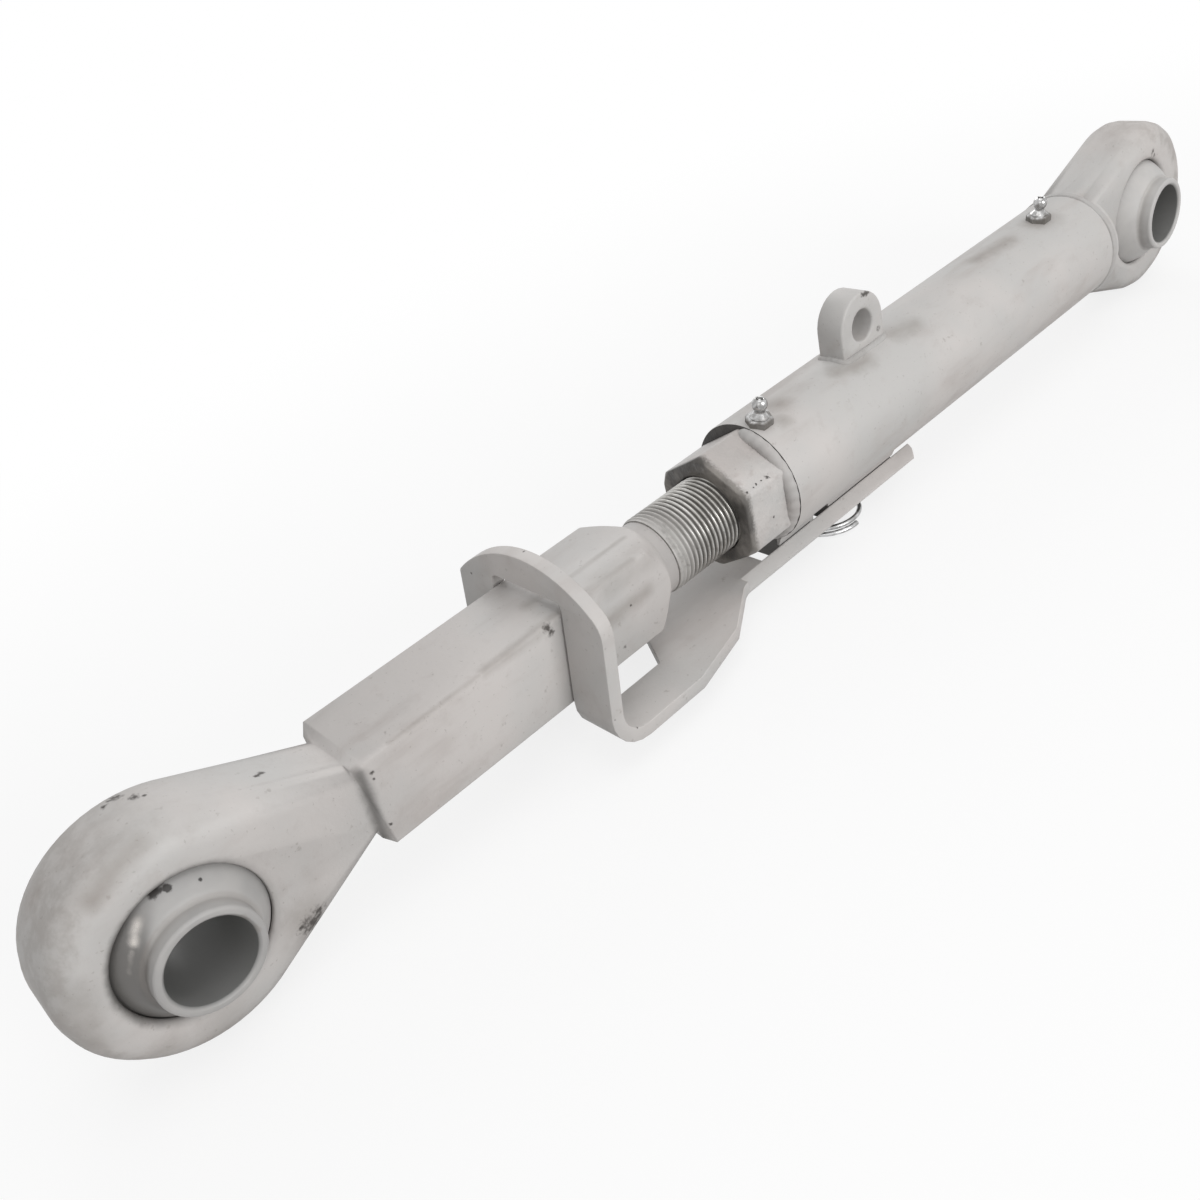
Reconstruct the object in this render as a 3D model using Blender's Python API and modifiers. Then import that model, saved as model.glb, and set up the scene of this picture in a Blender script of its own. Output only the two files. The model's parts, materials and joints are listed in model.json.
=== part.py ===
# Tractor top link: two swivel-ball eyes, one on a screwed spindle that turns in the tube's hexagon
# adapter, and a bent lock plate that keeps the square spindle from turning.
# +X runs along the link from the spindle's eye to the tube's eye, +Z is up, lengths are metres.
import math

import bmesh
import bpy
from mathutils import Matrix, Vector

# Frame
LINK_LENGTH = 0.516
FIT_GAP = 0.0003
MERGE_DISTANCE = 0.00001
CUT_MARGIN = 0.02

# Eyes and swivel balls
NEAR_EYE_RADIUS = 0.037
NEAR_EYE_HALF_WIDTH = 0.016
NEAR_EYE_EDGE = 0.009
FAR_EYE_RADIUS = 0.0383
FAR_EYE_OFFSET = 0.005
FAR_EYE_HALF_WIDTH = 0.014
FAR_EYE_EDGE = 0.0085
BALL_RADIUS = 0.026
BALL_HALF_WIDTH = 0.0255
COLLAR_RADIUS = 0.0172
COLLAR_CHAMFER = 0.0009
BORE_RADIUS = 0.0128
BORE_CHAMFER = 0.0008
SOCKET_CLEARANCE = 0.00035
LIP_ROUND = 0.002

# Spindle: neck, square shank, turned end and screw
NECK_END = 0.0575
NECK_HALF_HEIGHT = 0.0138
NECK_HALF_WIDTH = 0.0135
NECK_EDGE = 0.0055
NECK_OVERLAP = 0.015
SHANK_HALF = 0.0165
SHANK_CORNER = 0.0014
SHANK_START_CHAMFER = 0.003
TURNED_START = 0.1745
TURNED_KNEE = 0.1812
TURNED_KNEE_RADIUS = 0.0174
SHANK_END = 0.1845
SHANK_END_RADIUS = 0.0152
PLAIN_NECK_RADIUS = 0.0142
SCREW_RADIUS = 0.015
SCREW_START = 0.1895
SCREW_RUN_OUT = 0.0805
SCREW_CHAMFER = 0.0015

# Tube, hexagon adapter and the far eye's root
TUBE_WALL = 0.005
TUBE_START = 0.2436
EYE_REACH = 0.0475
HEX_SHOULDER = 0.00415
HEX_START = 0.2202
HEX_CHAMFER_LENGTH = 0.0016
HEX_FACE_RADIUS = 0.0212
HEX_CORNER_ROUND = 0.0003
SPIGOT_LENGTH = 0.019
SPIGOT_WALL = 0.00355
SCREW_HOLE_CLEARANCE = 0.0003
ADAPTER_WELD_LENGTH = 0.0048
ADAPTER_WELD_RISE = 0.0006
EYE_PLUG_LENGTH = 0.019
EYE_ROOT_START = 0.0025
EYE_ROOT_HALF_HEIGHT = 0.0228
EYE_ROOT_EDGE = 0.006
EYE_CONE_START = 0.0055
EYE_CONE_LENGTH = 0.0135
EYE_WELD_WIDTH = 0.0036
EYE_WELD_RISE = 0.0005
EYE_WELD_DEPTH = 0.002

# Lug
LUG_X = 0.3112
LUG_HALF_THICKNESS = 0.006
LUG_RADIUS = 0.0127
LUG_HOLE_RADIUS = 0.0061
LUG_HOLE_RISE = 0.00915
LUG_WELD_LEG = 0.0032

# Grease fittings
FRONT_FITTING_INSET = 0.0056
REAR_FITTING_INSET = 0.0263
FITTING_LEANS = (11.5, 8.0)
FITTING_HEX_ACROSS = 0.009
FITTING_HEX_HEIGHT = 0.0028
FITTING_SEAT_HEIGHT = 0.0005
FITTING_SHOULDER_RADIUS = 0.0032
FITTING_WAIST_RADIUS = 0.0018
FITTING_HEAD_RADIUS = 0.0026
FITTING_HEIGHT = 0.0096
FITTING_MOUTH_RADIUS = 0.0009
FITTING_MOUTH_DEPTH = 0.002

# Lock plate
PLATE_THICKNESS = 0.005
PLATE_HALF_WIDTH = 0.0356
PLATE_TOP_HEIGHT = 0.0308
PLATE_SHOULDER_HEIGHT = 0.0168
NEAR_SHOULDER_ROUND = 0.01
FAR_SHOULDER_ROUND = 0.002
PLATE_FACE_X = 0.1342
PLATE_LEAN = 9.0
PLATE_BEND_RADIUS = 0.0085
FLOOR_CLEARANCE = 0.00145
WIDE_END_X = 0.1715
WAIST_X = 0.1975
WAIST_HALF_WIDTH = 0.0285
TAIL_CORNER_X = 0.2185
TAIL_FILLET = 0.009
TAIL_HALF_WIDTH = 0.0142
TAIL_EDGE_CHAMFER = 0.0038
TAIL_CHAMFER_START_X = 0.2205
TAIL_END_X = 0.3272
TAIL_TIP_CHAMFER = 0.0022
WINDOW_HALF_WIDTH = 0.0174
WINDOW_TOP_HEIGHT = 0.0205
WINDOW_CORNER = 0.0025
WINDOW_SIDE_END_X = 0.1694
WINDOW_END_X = 0.1785
WINDOW_END_HALF_WIDTH = 0.0012
SLOT_START_X = 0.2335
SLOT_HALF_WIDTH = 0.0098

# Guide blocks, stud and ring under the tube
BLOCK_PROUD = 0.0016
BLOCK_SPANS = ((0.2442, 0.2634), (0.2744, 0.3162))
BLOCK_CORNER = 0.0008
BLOCK_WELD_LEG = 0.0018
STUD_X = 0.2689
STUD_RADIUS = 0.0045
STUD_PROUD = 0.007
STUD_CHAMFER = 0.0008
RING_HOLE_FROM_END = 0.0036
RING_HOLE_RADIUS = 0.0028
RING_WIRE_RADIUS = 0.001
RING_RADIUS = 0.0145
RING_TURN_FALL = 0.0009
RING_TURN_RISE = 0.0022
RING_START_ANGLE = -85.0
RING_TURN_ANGLE = 560.0

# Facet counts
EYE_STEPS = 44
TUBE_STEPS = 48
SMALL_STEPS = 20
CORNER_STEPS = 3
EDGE_STEPS = 4
RING_STEPS = 70
RING_SIDES = 8
LONG_HOLE_STEPS = 28

FAR_X_REACH = LINK_LENGTH + FAR_EYE_OFFSET + FAR_EYE_RADIUS
NEAR_X = -(FAR_X_REACH - NEAR_EYE_RADIUS) / 2
TUBE_HOLE_RADIUS = SCREW_RADIUS + SCREW_HOLE_CLEARANCE + SPIGOT_WALL + FIT_GAP
TUBE_RADIUS = TUBE_HOLE_RADIUS + TUBE_WALL
TUBE_END = LINK_LENGTH - EYE_REACH
SCREW_END = TUBE_END - SCREW_RUN_OUT
LUG_HOLE_HEIGHT = TUBE_RADIUS + LUG_HOLE_RISE
HEX_ACROSS_FLATS = 2 * (TUBE_RADIUS - HEX_SHOULDER)
FLOOR_DROP = TUBE_RADIUS + FLOOR_CLEARANCE
BLOCK_DROP = FLOOR_DROP + PLATE_THICKNESS + BLOCK_PROUD
STUD_DROP = BLOCK_DROP + STUD_PROUD
RING_DROP = STUD_DROP - RING_HOLE_FROM_END
AXIS_HEIGHT = max(STUD_DROP, FAR_EYE_RADIUS)
FITTING_XS = (TUBE_START + FRONT_FITTING_INSET, TUBE_END - REAR_FITTING_INSET)

for leftover in list(bpy.data.objects):
    bpy.data.objects.remove(leftover)
scene = bpy.context.scene
partCollection = bpy.data.collections.new("tractor_top_link")
cutterCollection = bpy.data.collections.new("cutters")
scene.collection.children.link(partCollection)
scene.collection.children.link(cutterCollection)


def along(x):
    """A distance from the near eye's centre, as a world X."""
    return NEAR_X + x


def paint(name, colour, metallic, roughness):
    material = bpy.data.materials.new(name)
    material.use_nodes = True
    shader = material.node_tree.nodes["Principled BSDF"]
    shader.inputs["Base Color"].default_value = (*colour, 1)
    shader.inputs["Metallic"].default_value = metallic
    shader.inputs["Roughness"].default_value = roughness
    return material


PAINT_SHARES = (0.53, 0.51, 0.49)
WELD_SHARES = (0.40, 0.40, 0.39)
STEEL_SHARES = (0.56, 0.56, 0.55)
ZINC_SHARES = (0.70, 0.71, 0.72)
DARK_SHARES = (0.20, 0.20, 0.20)


def add(name, mesh, finish=None):
    """An object from a mesh: a part when it has a finish, and a cutter when it has none."""
    thing = bpy.data.objects.new(name, mesh)
    if finish is None:
        cutterCollection.objects.link(thing)
        thing.hide_render = True
        thing.display_type = "WIRE"
    else:
        partCollection.objects.link(thing)
        mesh.materials.append(paint(name, *finish))
        mesh.shade_smooth()
        mesh.set_sharp_from_angle(angle=math.radians(34))
    return thing


PAINTED = (PAINT_SHARES, 0.0, 0.5)
WELDED = (WELD_SHARES, 0.4, 0.5)
STEEL = (STEEL_SHARES, 1.0, 0.35)
ZINC = (ZINC_SHARES, 1.0, 0.22)
BLOCK = (DARK_SHARES, 0.0, 0.6)


def arc(centre, radius, first, last, steps):
    """Points of an arc in a plane, from one angle to another in degrees."""
    points = []
    for step in range(steps + 1):
        angle = math.radians(first + (last - first) * step / steps)
        points.append((centre[0] + radius * math.cos(angle), centre[1] + radius * math.sin(angle)))
    return points


def area(outline):
    total = 0
    for one, two in zip(outline, outline[1:] + outline[:1]):
        total += one[0] * two[1] - two[0] * one[1]
    return total / 2


TURN = {
    "X": Matrix(((0, 0, 1), (0, 1, 0), (-1, 0, 0))).to_4x4(),
    "Y": Matrix(((1, 0, 0), (0, 0, 1), (0, -1, 0))).to_4x4(),
    "Z": Matrix.Identity(4),
}


def turned(name, points, closed, axis, place, finish, steps):
    """Turns points of (radius, distance along the axis) about an axis through place."""
    count = len(points)
    edges = [(i, (i + 1) % count) for i in range(count if closed else count - 1)]
    mesh = bpy.data.meshes.new(name)
    mesh.from_pydata([(radius, 0, level) for radius, level in points], edges, [])
    thing = add(name, mesh, finish)
    screw = thing.modifiers.new("turned", "SCREW")
    screw.axis = "Z"
    screw.steps = steps
    screw.render_steps = steps
    screw.use_merge_vertices = True
    screw.merge_threshold = MERGE_DISTANCE
    screw.use_smooth_shade = True
    thing.matrix_world = Matrix.Translation(place) @ TURN[axis]
    return thing


def ring_body(name, outline, axis, place, finish=None, steps=TUBE_STEPS):
    """A turned body with a hole through it, from a closed outline."""
    clockwise = outline if area(outline) < 0 else outline[::-1]
    return turned(name, clockwise, True, axis, place, finish, steps)


def solid_body(name, side, axis, place, finish=None, steps=TUBE_STEPS):
    """A turned body solid to its axis, from its side listed from the low end up."""
    points = [(0, side[0][1])] + list(side) + [(0, side[-1][1])]
    return turned(name, points[::-1], False, axis, place, finish, steps)


def prism(name, outline, normal, low, high, finish=None):
    """An outline drawn in the plane across an axis, extruded from low to high along it.
    The outline's two numbers are (y, z) across X, (x, z) across Y and (x, y) across Z."""
    mesh = bpy.data.meshes.new(name)
    work = bmesh.new()
    ring = []
    for one, two in outline:
        spot = {"X": (low, one, two), "Y": (one, low, two), "Z": (one, two, low)}[normal]
        ring.append(work.verts.new(spot))
    face = work.faces.new(ring)
    grown = bmesh.ops.extrude_face_region(work, geom=[face])
    moved = [item for item in grown["geom"] if isinstance(item, bmesh.types.BMVert)]
    shift = {"X": Vector((1, 0, 0)), "Y": Vector((0, 1, 0)), "Z": Vector((0, 0, 1))}[normal]
    bmesh.ops.translate(work, verts=moved, vec=shift * (high - low))
    bmesh.ops.recalc_face_normals(work, faces=work.faces)
    work.to_mesh(mesh)
    work.free()
    return add(name, mesh, finish)


def frustum(name, low_half, high_half, low, high, finish=None):
    """A four-sided block whose half sizes change from low_half to high_half along Z."""
    mesh = bpy.data.meshes.new(name)
    verts = []
    for half, level in ((low_half, low), (high_half, high)):
        for sx, sy in ((-1, -1), (1, -1), (1, 1), (-1, 1)):
            verts.append((sx * half[0], sy * half[1], level))
    faces = [(3, 2, 1, 0), (4, 5, 6, 7), (0, 1, 5, 4), (1, 2, 6, 5), (2, 3, 7, 6), (3, 0, 4, 7)]
    mesh.from_pydata(verts, [], faces)
    return add(name, mesh, finish)


def boolean(thing, other, operation):
    step = thing.modifiers.new(operation.lower(), "BOOLEAN")
    step.operation = operation
    step.solver = "EXACT"
    step.object = other
    return thing


def rounded_rectangle(half_wide, half_high, radius, centre=(0, 0)):
    outline = []
    for sx, sy, first in ((1, 1, 0), (-1, 1, 90), (-1, -1, 180), (1, -1, 270)):
        corner = (centre[0] + sx * (half_wide - radius), centre[1] + sy * (half_high - radius))
        outline += arc(corner, radius, first, first + 90, CORNER_STEPS)
    return outline


def at(x, y=0, drop=0):
    """A place on the link: x from the near eye, y across, and drop below the axis."""
    return Vector((along(x), y, AXIS_HEIGHT - drop))


SOCKET_RADIUS = BALL_RADIUS + SOCKET_CLEARANCE


def eye_slab(name, centre, turn, radius, half_width, edge, roots, finish=None):
    """A round-edged eye drawn out by tangents into its root, as outlines stacked across the link.
    roots lists (distance from the eye's centre, half height, half width, edge) outwards."""
    levels = []
    for side, first in ((-1, -90), (1, 0)):
        for inset, level in arc((0, side * (half_width - edge)), edge, first, first + 90, EDGE_STEPS):
            levels.append((edge - inset, level))
    rings = []
    for inset, level in levels:
        share = inset / edge
        root = [(far, high - low_edge * share, level * wide / half_width) for far, high, wide, low_edge in roots]
        far, high = root[0][:2]
        round_radius = radius - inset
        spread = math.atan2(high, far) + math.acos(round_radius / math.hypot(far, high))
        first = math.degrees(spread)
        rim = [(x, level, z) for x, z in arc((0, 0), round_radius, first, 360 - first, EYE_STEPS)]
        upper = [(x, y, z) for x, z, y in reversed(root)]
        lower = [(x, y, -z) for x, z, y in root]
        rings.append(upper + rim + lower)
    mesh = bpy.data.meshes.new(name)
    work = bmesh.new()
    stack = []
    for ring in rings:
        stack.append([work.verts.new((turn * x, y, z)) for x, y, z in ring])
    count = len(rings[0])
    reach = len(roots)
    for low, high in zip(stack, stack[1:]):
        for i in range(count - 1):
            work.faces.new((low[i], low[i + 1], high[i + 1], high[i]))
    for ring in (stack[0], stack[-1]):
        work.faces.new(ring[reach : count - reach])
        for i in range(reach):
            work.faces.new((ring[i], ring[i + 1], ring[count - 2 - i], ring[count - 1 - i]))
    work.faces.new([ring[0] for ring in stack] + [ring[-1] for ring in reversed(stack)])
    bmesh.ops.recalc_face_normals(work, faces=work.faces)
    work.to_mesh(mesh)
    work.free()
    thing = add(name, mesh, finish)
    thing.location = centre
    return thing


def socket_cutter(name, place, half_width):
    """A ball a little larger than the swivel ball, with its two mouths and their rounded lips."""
    lip_level = half_width - LIP_ROUND
    mouth_radius = math.sqrt(SOCKET_RADIUS**2 - lip_level**2)
    lip_radius = mouth_radius + LIP_ROUND
    far = half_width + CUT_MARGIN
    spread = math.degrees(math.asin(lip_level / SOCKET_RADIUS))
    low_lip = arc((lip_radius, -lip_level), LIP_ROUND, 270, 180, CORNER_STEPS)
    high_lip = arc((lip_radius, lip_level), LIP_ROUND, 180, 90, CORNER_STEPS)
    side = arc((0, 0), SOCKET_RADIUS, -spread, spread, 12)[1:-1]
    outline = [(lip_radius, -far)] + low_lip + side + high_lip + [(lip_radius, far)]
    return solid_body(name, outline, "Y", place)


def swivel_ball(name, x):
    """A ball with two flats drawn out into collars, bored through across the link."""
    start = math.sqrt(BALL_RADIUS**2 - COLLAR_RADIUS**2)
    angle = math.degrees(math.asin(start / BALL_RADIUS))
    edge = BALL_HALF_WIDTH - COLLAR_CHAMFER
    outline = [(COLLAR_RADIUS - COLLAR_CHAMFER, -BALL_HALF_WIDTH), (COLLAR_RADIUS, -edge)]
    outline += arc((0, 0), BALL_RADIUS, -angle, angle, 14)
    outline += [(COLLAR_RADIUS, edge), (COLLAR_RADIUS - COLLAR_CHAMFER, BALL_HALF_WIDTH)]
    mouth = BORE_RADIUS + BORE_CHAMFER
    inner = BALL_HALF_WIDTH - BORE_CHAMFER
    outline += [(mouth, BALL_HALF_WIDTH), (BORE_RADIUS, inner)]
    outline += [(BORE_RADIUS, -inner), (mouth, -BALL_HALF_WIDTH)]
    return ring_body(name, outline, "Y", at(x), STEEL)


# The spindle forging: eye, neck and square shank in one piece
nearEye = eye_slab(
    "near_eye_shank",
    at(0),
    1,
    NEAR_EYE_RADIUS,
    NEAR_EYE_HALF_WIDTH,
    NEAR_EYE_EDGE,
    [
        (NECK_END, NECK_HALF_HEIGHT, NECK_HALF_WIDTH, NECK_EDGE),
        (NECK_END + NECK_OVERLAP, NECK_HALF_HEIGHT, NECK_HALF_WIDTH, NECK_EDGE),
    ],
    PAINTED,
)
shankOutline = rounded_rectangle(SHANK_HALF, SHANK_HALF, SHANK_CORNER, (0, AXIS_HEIGHT))
shank = prism("shank_bar", shankOutline, "X", along(NECK_END), along(SHANK_END + FIT_GAP))
startHalf = SHANK_HALF - SHANK_START_CHAMFER
for normal, level in (("Y", AXIS_HEIGHT), ("Z", 0)):
    reach = SHANK_HALF + CUT_MARGIN
    middle = AXIS_HEIGHT if normal == "Z" else 0
    halfStart = [
        (along(NECK_END - FIT_GAP), startHalf - FIT_GAP),
        (along(NECK_END) + reach - startHalf, reach),
        (along(SHANK_END + CUT_MARGIN), reach),
    ]
    startOutline = [(x, level + high) for x, high in halfStart]
    startOutline += [(x, level - high) for x, high in reversed(halfStart)]
    start = prism("shank_start_" + normal, startOutline, normal, middle - reach, middle + reach)
    boolean(shank, start, "INTERSECT")
turnedProfile = [
    (SHANK_HALF + SHANK_HALF, NECK_END - CUT_MARGIN),
    (SHANK_HALF + SHANK_HALF, TURNED_START),
    (SHANK_HALF * math.sqrt(2), TURNED_START),
    (TURNED_KNEE_RADIUS, TURNED_KNEE),
    (SHANK_END_RADIUS, SHANK_END),
]
turning = solid_body("shank_turning", turnedProfile, "X", at(0))
boolean(shank, turning, "INTERSECT")
boolean(nearEye, shank, "UNION")
plainNeck = solid_body(
    "plain_neck",
    [(PLAIN_NECK_RADIUS, SHANK_END - CUT_MARGIN), (PLAIN_NECK_RADIUS, SCREW_START)],
    "X",
    at(0),
)
boolean(nearEye, plainNeck, "UNION")
boolean(nearEye, socket_cutter("near_socket", at(0), NEAR_EYE_HALF_WIDTH), "DIFFERENCE")

screwProfile = [
    (SCREW_RADIUS - SCREW_CHAMFER, SCREW_START + FIT_GAP),
    (SCREW_RADIUS, SCREW_START + FIT_GAP + SCREW_CHAMFER),
    (SCREW_RADIUS, SCREW_END - SCREW_CHAMFER),
    (SCREW_RADIUS - SCREW_CHAMFER, SCREW_END),
]
solid_body("adjusting_screw", screwProfile, "X", at(0), STEEL)
swivel_ball("near_ball", 0)

# The tube, its hexagon adapter and its eye
tubeProfile = [
    (TUBE_HOLE_RADIUS, TUBE_START),
    (TUBE_RADIUS, TUBE_START),
    (TUBE_RADIUS, TUBE_END),
    (TUBE_HOLE_RADIUS, TUBE_END),
]
tube = ring_body("tube", tubeProfile, "X", at(0), PAINTED)

hexCorner = HEX_ACROSS_FLATS / math.sqrt(3)
hexOutline = [(y, AXIS_HEIGHT + z) for y, z in arc((0, 0), hexCorner, 90, 390, 5)]
adapterEnd = TUBE_START + SPIGOT_LENGTH
adapter = prism("hex_adapter", hexOutline, "X", along(HEX_START), along(TUBE_START - FIT_GAP), PAINTED)
hexTurnedProfile = [
    (HEX_FACE_RADIUS, HEX_START - FIT_GAP),
    (HEX_FACE_RADIUS, HEX_START),
    (hexCorner - HEX_CORNER_ROUND, HEX_START + HEX_CHAMFER_LENGTH),
    (hexCorner - HEX_CORNER_ROUND, TUBE_START),
]
hexTurning = solid_body("hex_turning", hexTurnedProfile, "X", at(0))
boolean(adapter, hexTurning, "INTERSECT")
spigotRadius = TUBE_HOLE_RADIUS - FIT_GAP
spigot = solid_body(
    "adapter_spigot",
    [(spigotRadius, HEX_START + HEX_CHAMFER_LENGTH), (spigotRadius, adapterEnd)],
    "X",
    at(0),
)
boolean(adapter, spigot, "UNION")
screwHoleRadius = SCREW_RADIUS + SCREW_HOLE_CLEARANCE
screwHole = solid_body(
    "adapter_hole",
    [(screwHoleRadius, HEX_START - CUT_MARGIN), (screwHoleRadius, adapterEnd + CUT_MARGIN)],
    "X",
    at(0),
)
boolean(adapter, screwHole, "DIFFERENCE")

# The weld between hexagon and tube end: a cone of weld metal outside the hexagon's flats
weldInner = HEX_ACROSS_FLATS / 2 - FIT_GAP
adapterWeldProfile = [
    (weldInner, TUBE_START - ADAPTER_WELD_LENGTH),
    (TUBE_RADIUS + ADAPTER_WELD_RISE, TUBE_START - FIT_GAP),
    (weldInner, TUBE_START - FIT_GAP),
]
adapterWeld = ring_body("adapter_weld", adapterWeldProfile, "X", at(0), WELDED)
hexGrown = [
    (y, AXIS_HEIGHT + z) for y, z in arc((0, 0), hexCorner + FIT_GAP + FIT_GAP, 90, 390, 5)
]
hexKeepout = prism("hex_keepout", hexGrown, "X", along(HEX_START - CUT_MARGIN), along(TUBE_START + CUT_MARGIN))
boolean(adapterWeld, hexKeepout, "DIFFERENCE")
farHalf = [(FIT_GAP, 0), (LINK_LENGTH, 0), (LINK_LENGTH, LINK_LENGTH), (FIT_GAP, LINK_LENGTH)]
farHalfCut = prism("weld_far_half", farHalf, "X", along(HEX_START), along(TUBE_START + CUT_MARGIN))
boolean(adapterWeld, farHalfCut, "DIFFERENCE")

rootReach = EYE_REACH + FAR_EYE_OFFSET - EYE_ROOT_START
farEye = eye_slab(
    "far_eye",
    at(LINK_LENGTH + FAR_EYE_OFFSET),
    -1,
    FAR_EYE_RADIUS,
    FAR_EYE_HALF_WIDTH,
    FAR_EYE_EDGE,
    [(rootReach, EYE_ROOT_HALF_HEIGHT, FAR_EYE_HALF_WIDTH, EYE_ROOT_EDGE)],
    PAINTED,
)
rootStart = TUBE_END + FIT_GAP
rootProfile = [
    (spigotRadius, rootStart - EYE_PLUG_LENGTH),
    (spigotRadius, rootStart),
    (TUBE_RADIUS, rootStart),
    (TUBE_RADIUS, TUBE_END + EYE_CONE_START),
    (FAR_EYE_HALF_WIDTH, TUBE_END + EYE_CONE_START + EYE_CONE_LENGTH),
]
farRoot = solid_body("far_eye_root", rootProfile, "X", at(0))
boolean(farEye, farRoot, "UNION")
weldSeat = ring_body(
    "far_weld_seat",
    [
        (TUBE_RADIUS - EYE_WELD_DEPTH, rootStart),
        (TUBE_RADIUS + CUT_MARGIN, rootStart - CUT_MARGIN),
        (TUBE_RADIUS + CUT_MARGIN, rootStart + EYE_WELD_WIDTH),
        (TUBE_RADIUS, rootStart + EYE_WELD_WIDTH),
    ],
    "X",
    at(0),
)
boolean(farEye, weldSeat, "DIFFERENCE")
boolean(farEye, socket_cutter("far_socket", at(LINK_LENGTH), FAR_EYE_HALF_WIDTH), "DIFFERENCE")
farWeldProfile = [
    (TUBE_RADIUS - EYE_WELD_DEPTH + FIT_GAP, rootStart),
    (TUBE_RADIUS + EYE_WELD_RISE, rootStart),
    (TUBE_RADIUS + EYE_WELD_RISE, rootStart + EYE_WELD_WIDTH - FIT_GAP),
    (TUBE_RADIUS + FIT_GAP, rootStart + EYE_WELD_WIDTH - FIT_GAP),
]
ring_body("far_eye_weld", farWeldProfile, "X", at(0), WELDED)
swivel_ball("far_ball", LINK_LENGTH)

# The lug on the tube's back, with its weld
tubeClear = solid_body(
    "tube_keepout",
    [(TUBE_RADIUS + FIT_GAP, TUBE_START - CUT_MARGIN), (TUBE_RADIUS + FIT_GAP, TUBE_END + CUT_MARGIN)],
    "X",
    at(0),
)
lugMiddle = (along(LUG_X), AXIS_HEIGHT + LUG_HOLE_HEIGHT)
lugFoot = AXIS_HEIGHT + TUBE_HOLE_RADIUS
lugOutline = arc(lugMiddle, LUG_RADIUS, 0, 180, 16)
lugOutline += [(lugMiddle[0] - LUG_RADIUS, lugFoot), (lugMiddle[0] + LUG_RADIUS, lugFoot)]
lug = prism("lug", lugOutline, "Y", -LUG_HALF_THICKNESS, LUG_HALF_THICKNESS, PAINTED)
lugHole = solid_body(
    "lug_hole",
    [(LUG_HOLE_RADIUS, -CUT_MARGIN), (LUG_HOLE_RADIUS, CUT_MARGIN)],
    "Y",
    at(LUG_X, 0, -LUG_HOLE_HEIGHT),
    steps=LONG_HOLE_STEPS,
)
boolean(lug, lugHole, "DIFFERENCE")
boolean(lug, tubeClear, "DIFFERENCE")
weldTop = TUBE_RADIUS + LUG_WELD_LEG
sideDrop = TUBE_RADIUS - math.sqrt(TUBE_RADIUS**2 - (LUG_HALF_THICKNESS + LUG_WELD_LEG) ** 2)
lugWeld = frustum(
    "lug_weld",
    (LUG_RADIUS + LUG_WELD_LEG + sideDrop, LUG_HALF_THICKNESS + LUG_WELD_LEG + sideDrop),
    (LUG_RADIUS + FIT_GAP, LUG_HALF_THICKNESS + FIT_GAP),
    TUBE_RADIUS - sideDrop,
    weldTop,
    WELDED,
)
lugWeld.location = at(LUG_X)
lugKeepout = prism(
    "lug_keepout",
    rounded_rectangle(LUG_RADIUS + FIT_GAP, LUG_HALF_THICKNESS + FIT_GAP, FIT_GAP, (along(LUG_X), 0)),
    "Z",
    AXIS_HEIGHT,
    AXIS_HEIGHT + weldTop + CUT_MARGIN,
)
boolean(lugWeld, lugKeepout, "DIFFERENCE")
boolean(lugWeld, tubeClear, "DIFFERENCE")

# Grease fittings: hexagon, waist, ball head and an open mouth
for name, x, lean in zip(("front", "rear"), FITTING_XS, FITTING_LEANS):
    turn = Matrix.Rotation(math.radians(lean), 4, "X")
    seat = TUBE_RADIUS + FIT_GAP
    top = seat + FITTING_HEIGHT
    hexTop = seat + FITTING_SEAT_HEIGHT + FITTING_HEX_HEIGHT
    headLevel = top - FITTING_HEAD_RADIUS
    hexReach = FITTING_HEX_ACROSS / math.sqrt(3)
    body = [
        (hexReach, seat - FITTING_SEAT_HEIGHT),
        (hexReach, hexTop - FITTING_SEAT_HEIGHT),
        (FITTING_HEX_ACROSS / 2, hexTop),
        (FITTING_SHOULDER_RADIUS, hexTop),
        (FITTING_WAIST_RADIUS, (hexTop + headLevel) / 2),
        (FITTING_WAIST_RADIUS, headLevel - FITTING_HEAD_RADIUS / 2),
        (FITTING_HEAD_RADIUS, headLevel),
        (FITTING_HEAD_RADIUS, headLevel + FITTING_HEAD_RADIUS / 3),
        (FITTING_WAIST_RADIUS, top),
    ]
    fitting = solid_body(name + "_grease_fitting", body, "Z", at(x), ZINC, SMALL_STEPS)
    fitting.matrix_world = Matrix.Translation(at(x)) @ turn
    hexPrism = prism(
        name + "_fitting_hexagon", arc((0, 0), hexReach, 0, 300, 5), "Z", seat - CUT_MARGIN, hexTop + CUT_MARGIN
    )
    hexPrism.matrix_world = fitting.matrix_world
    boolean(fitting, hexPrism, "INTERSECT")
    seatCut = solid_body(
        name + "_fitting_seat",
        [(seat, -FITTING_HEX_ACROSS), (seat, FITTING_HEX_ACROSS)],
        "X",
        at(x),
        )
    boolean(fitting, seatCut, "DIFFERENCE")
    mouth = solid_body(
        name + "_fitting_mouth",
        [(FITTING_MOUTH_RADIUS / 2, top - FITTING_MOUTH_DEPTH), (FITTING_MOUTH_RADIUS, top + CUT_MARGIN)],
        "Z",
        at(x),
        steps=SMALL_STEPS,
    )
    mouth.matrix_world = fitting.matrix_world
    boolean(fitting, mouth, "DIFFERENCE")

# The lock plate: a leaning upright with a window, bent into a floor that narrows to a forked tail
lean = math.radians(PLATE_LEAN)
floorTop = AXIS_HEIGHT - FLOOR_DROP
floorFoot = floorTop - PLATE_THICKNESS
outerBend = PLATE_BEND_RADIUS + PLATE_THICKNESS
bendLevel = floorTop + PLATE_BEND_RADIUS


def upright_x(height):
    """Where the upright's front face stands at a height above the link's axis."""
    return along(PLATE_FACE_X) + height * math.tan(lean)


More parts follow.
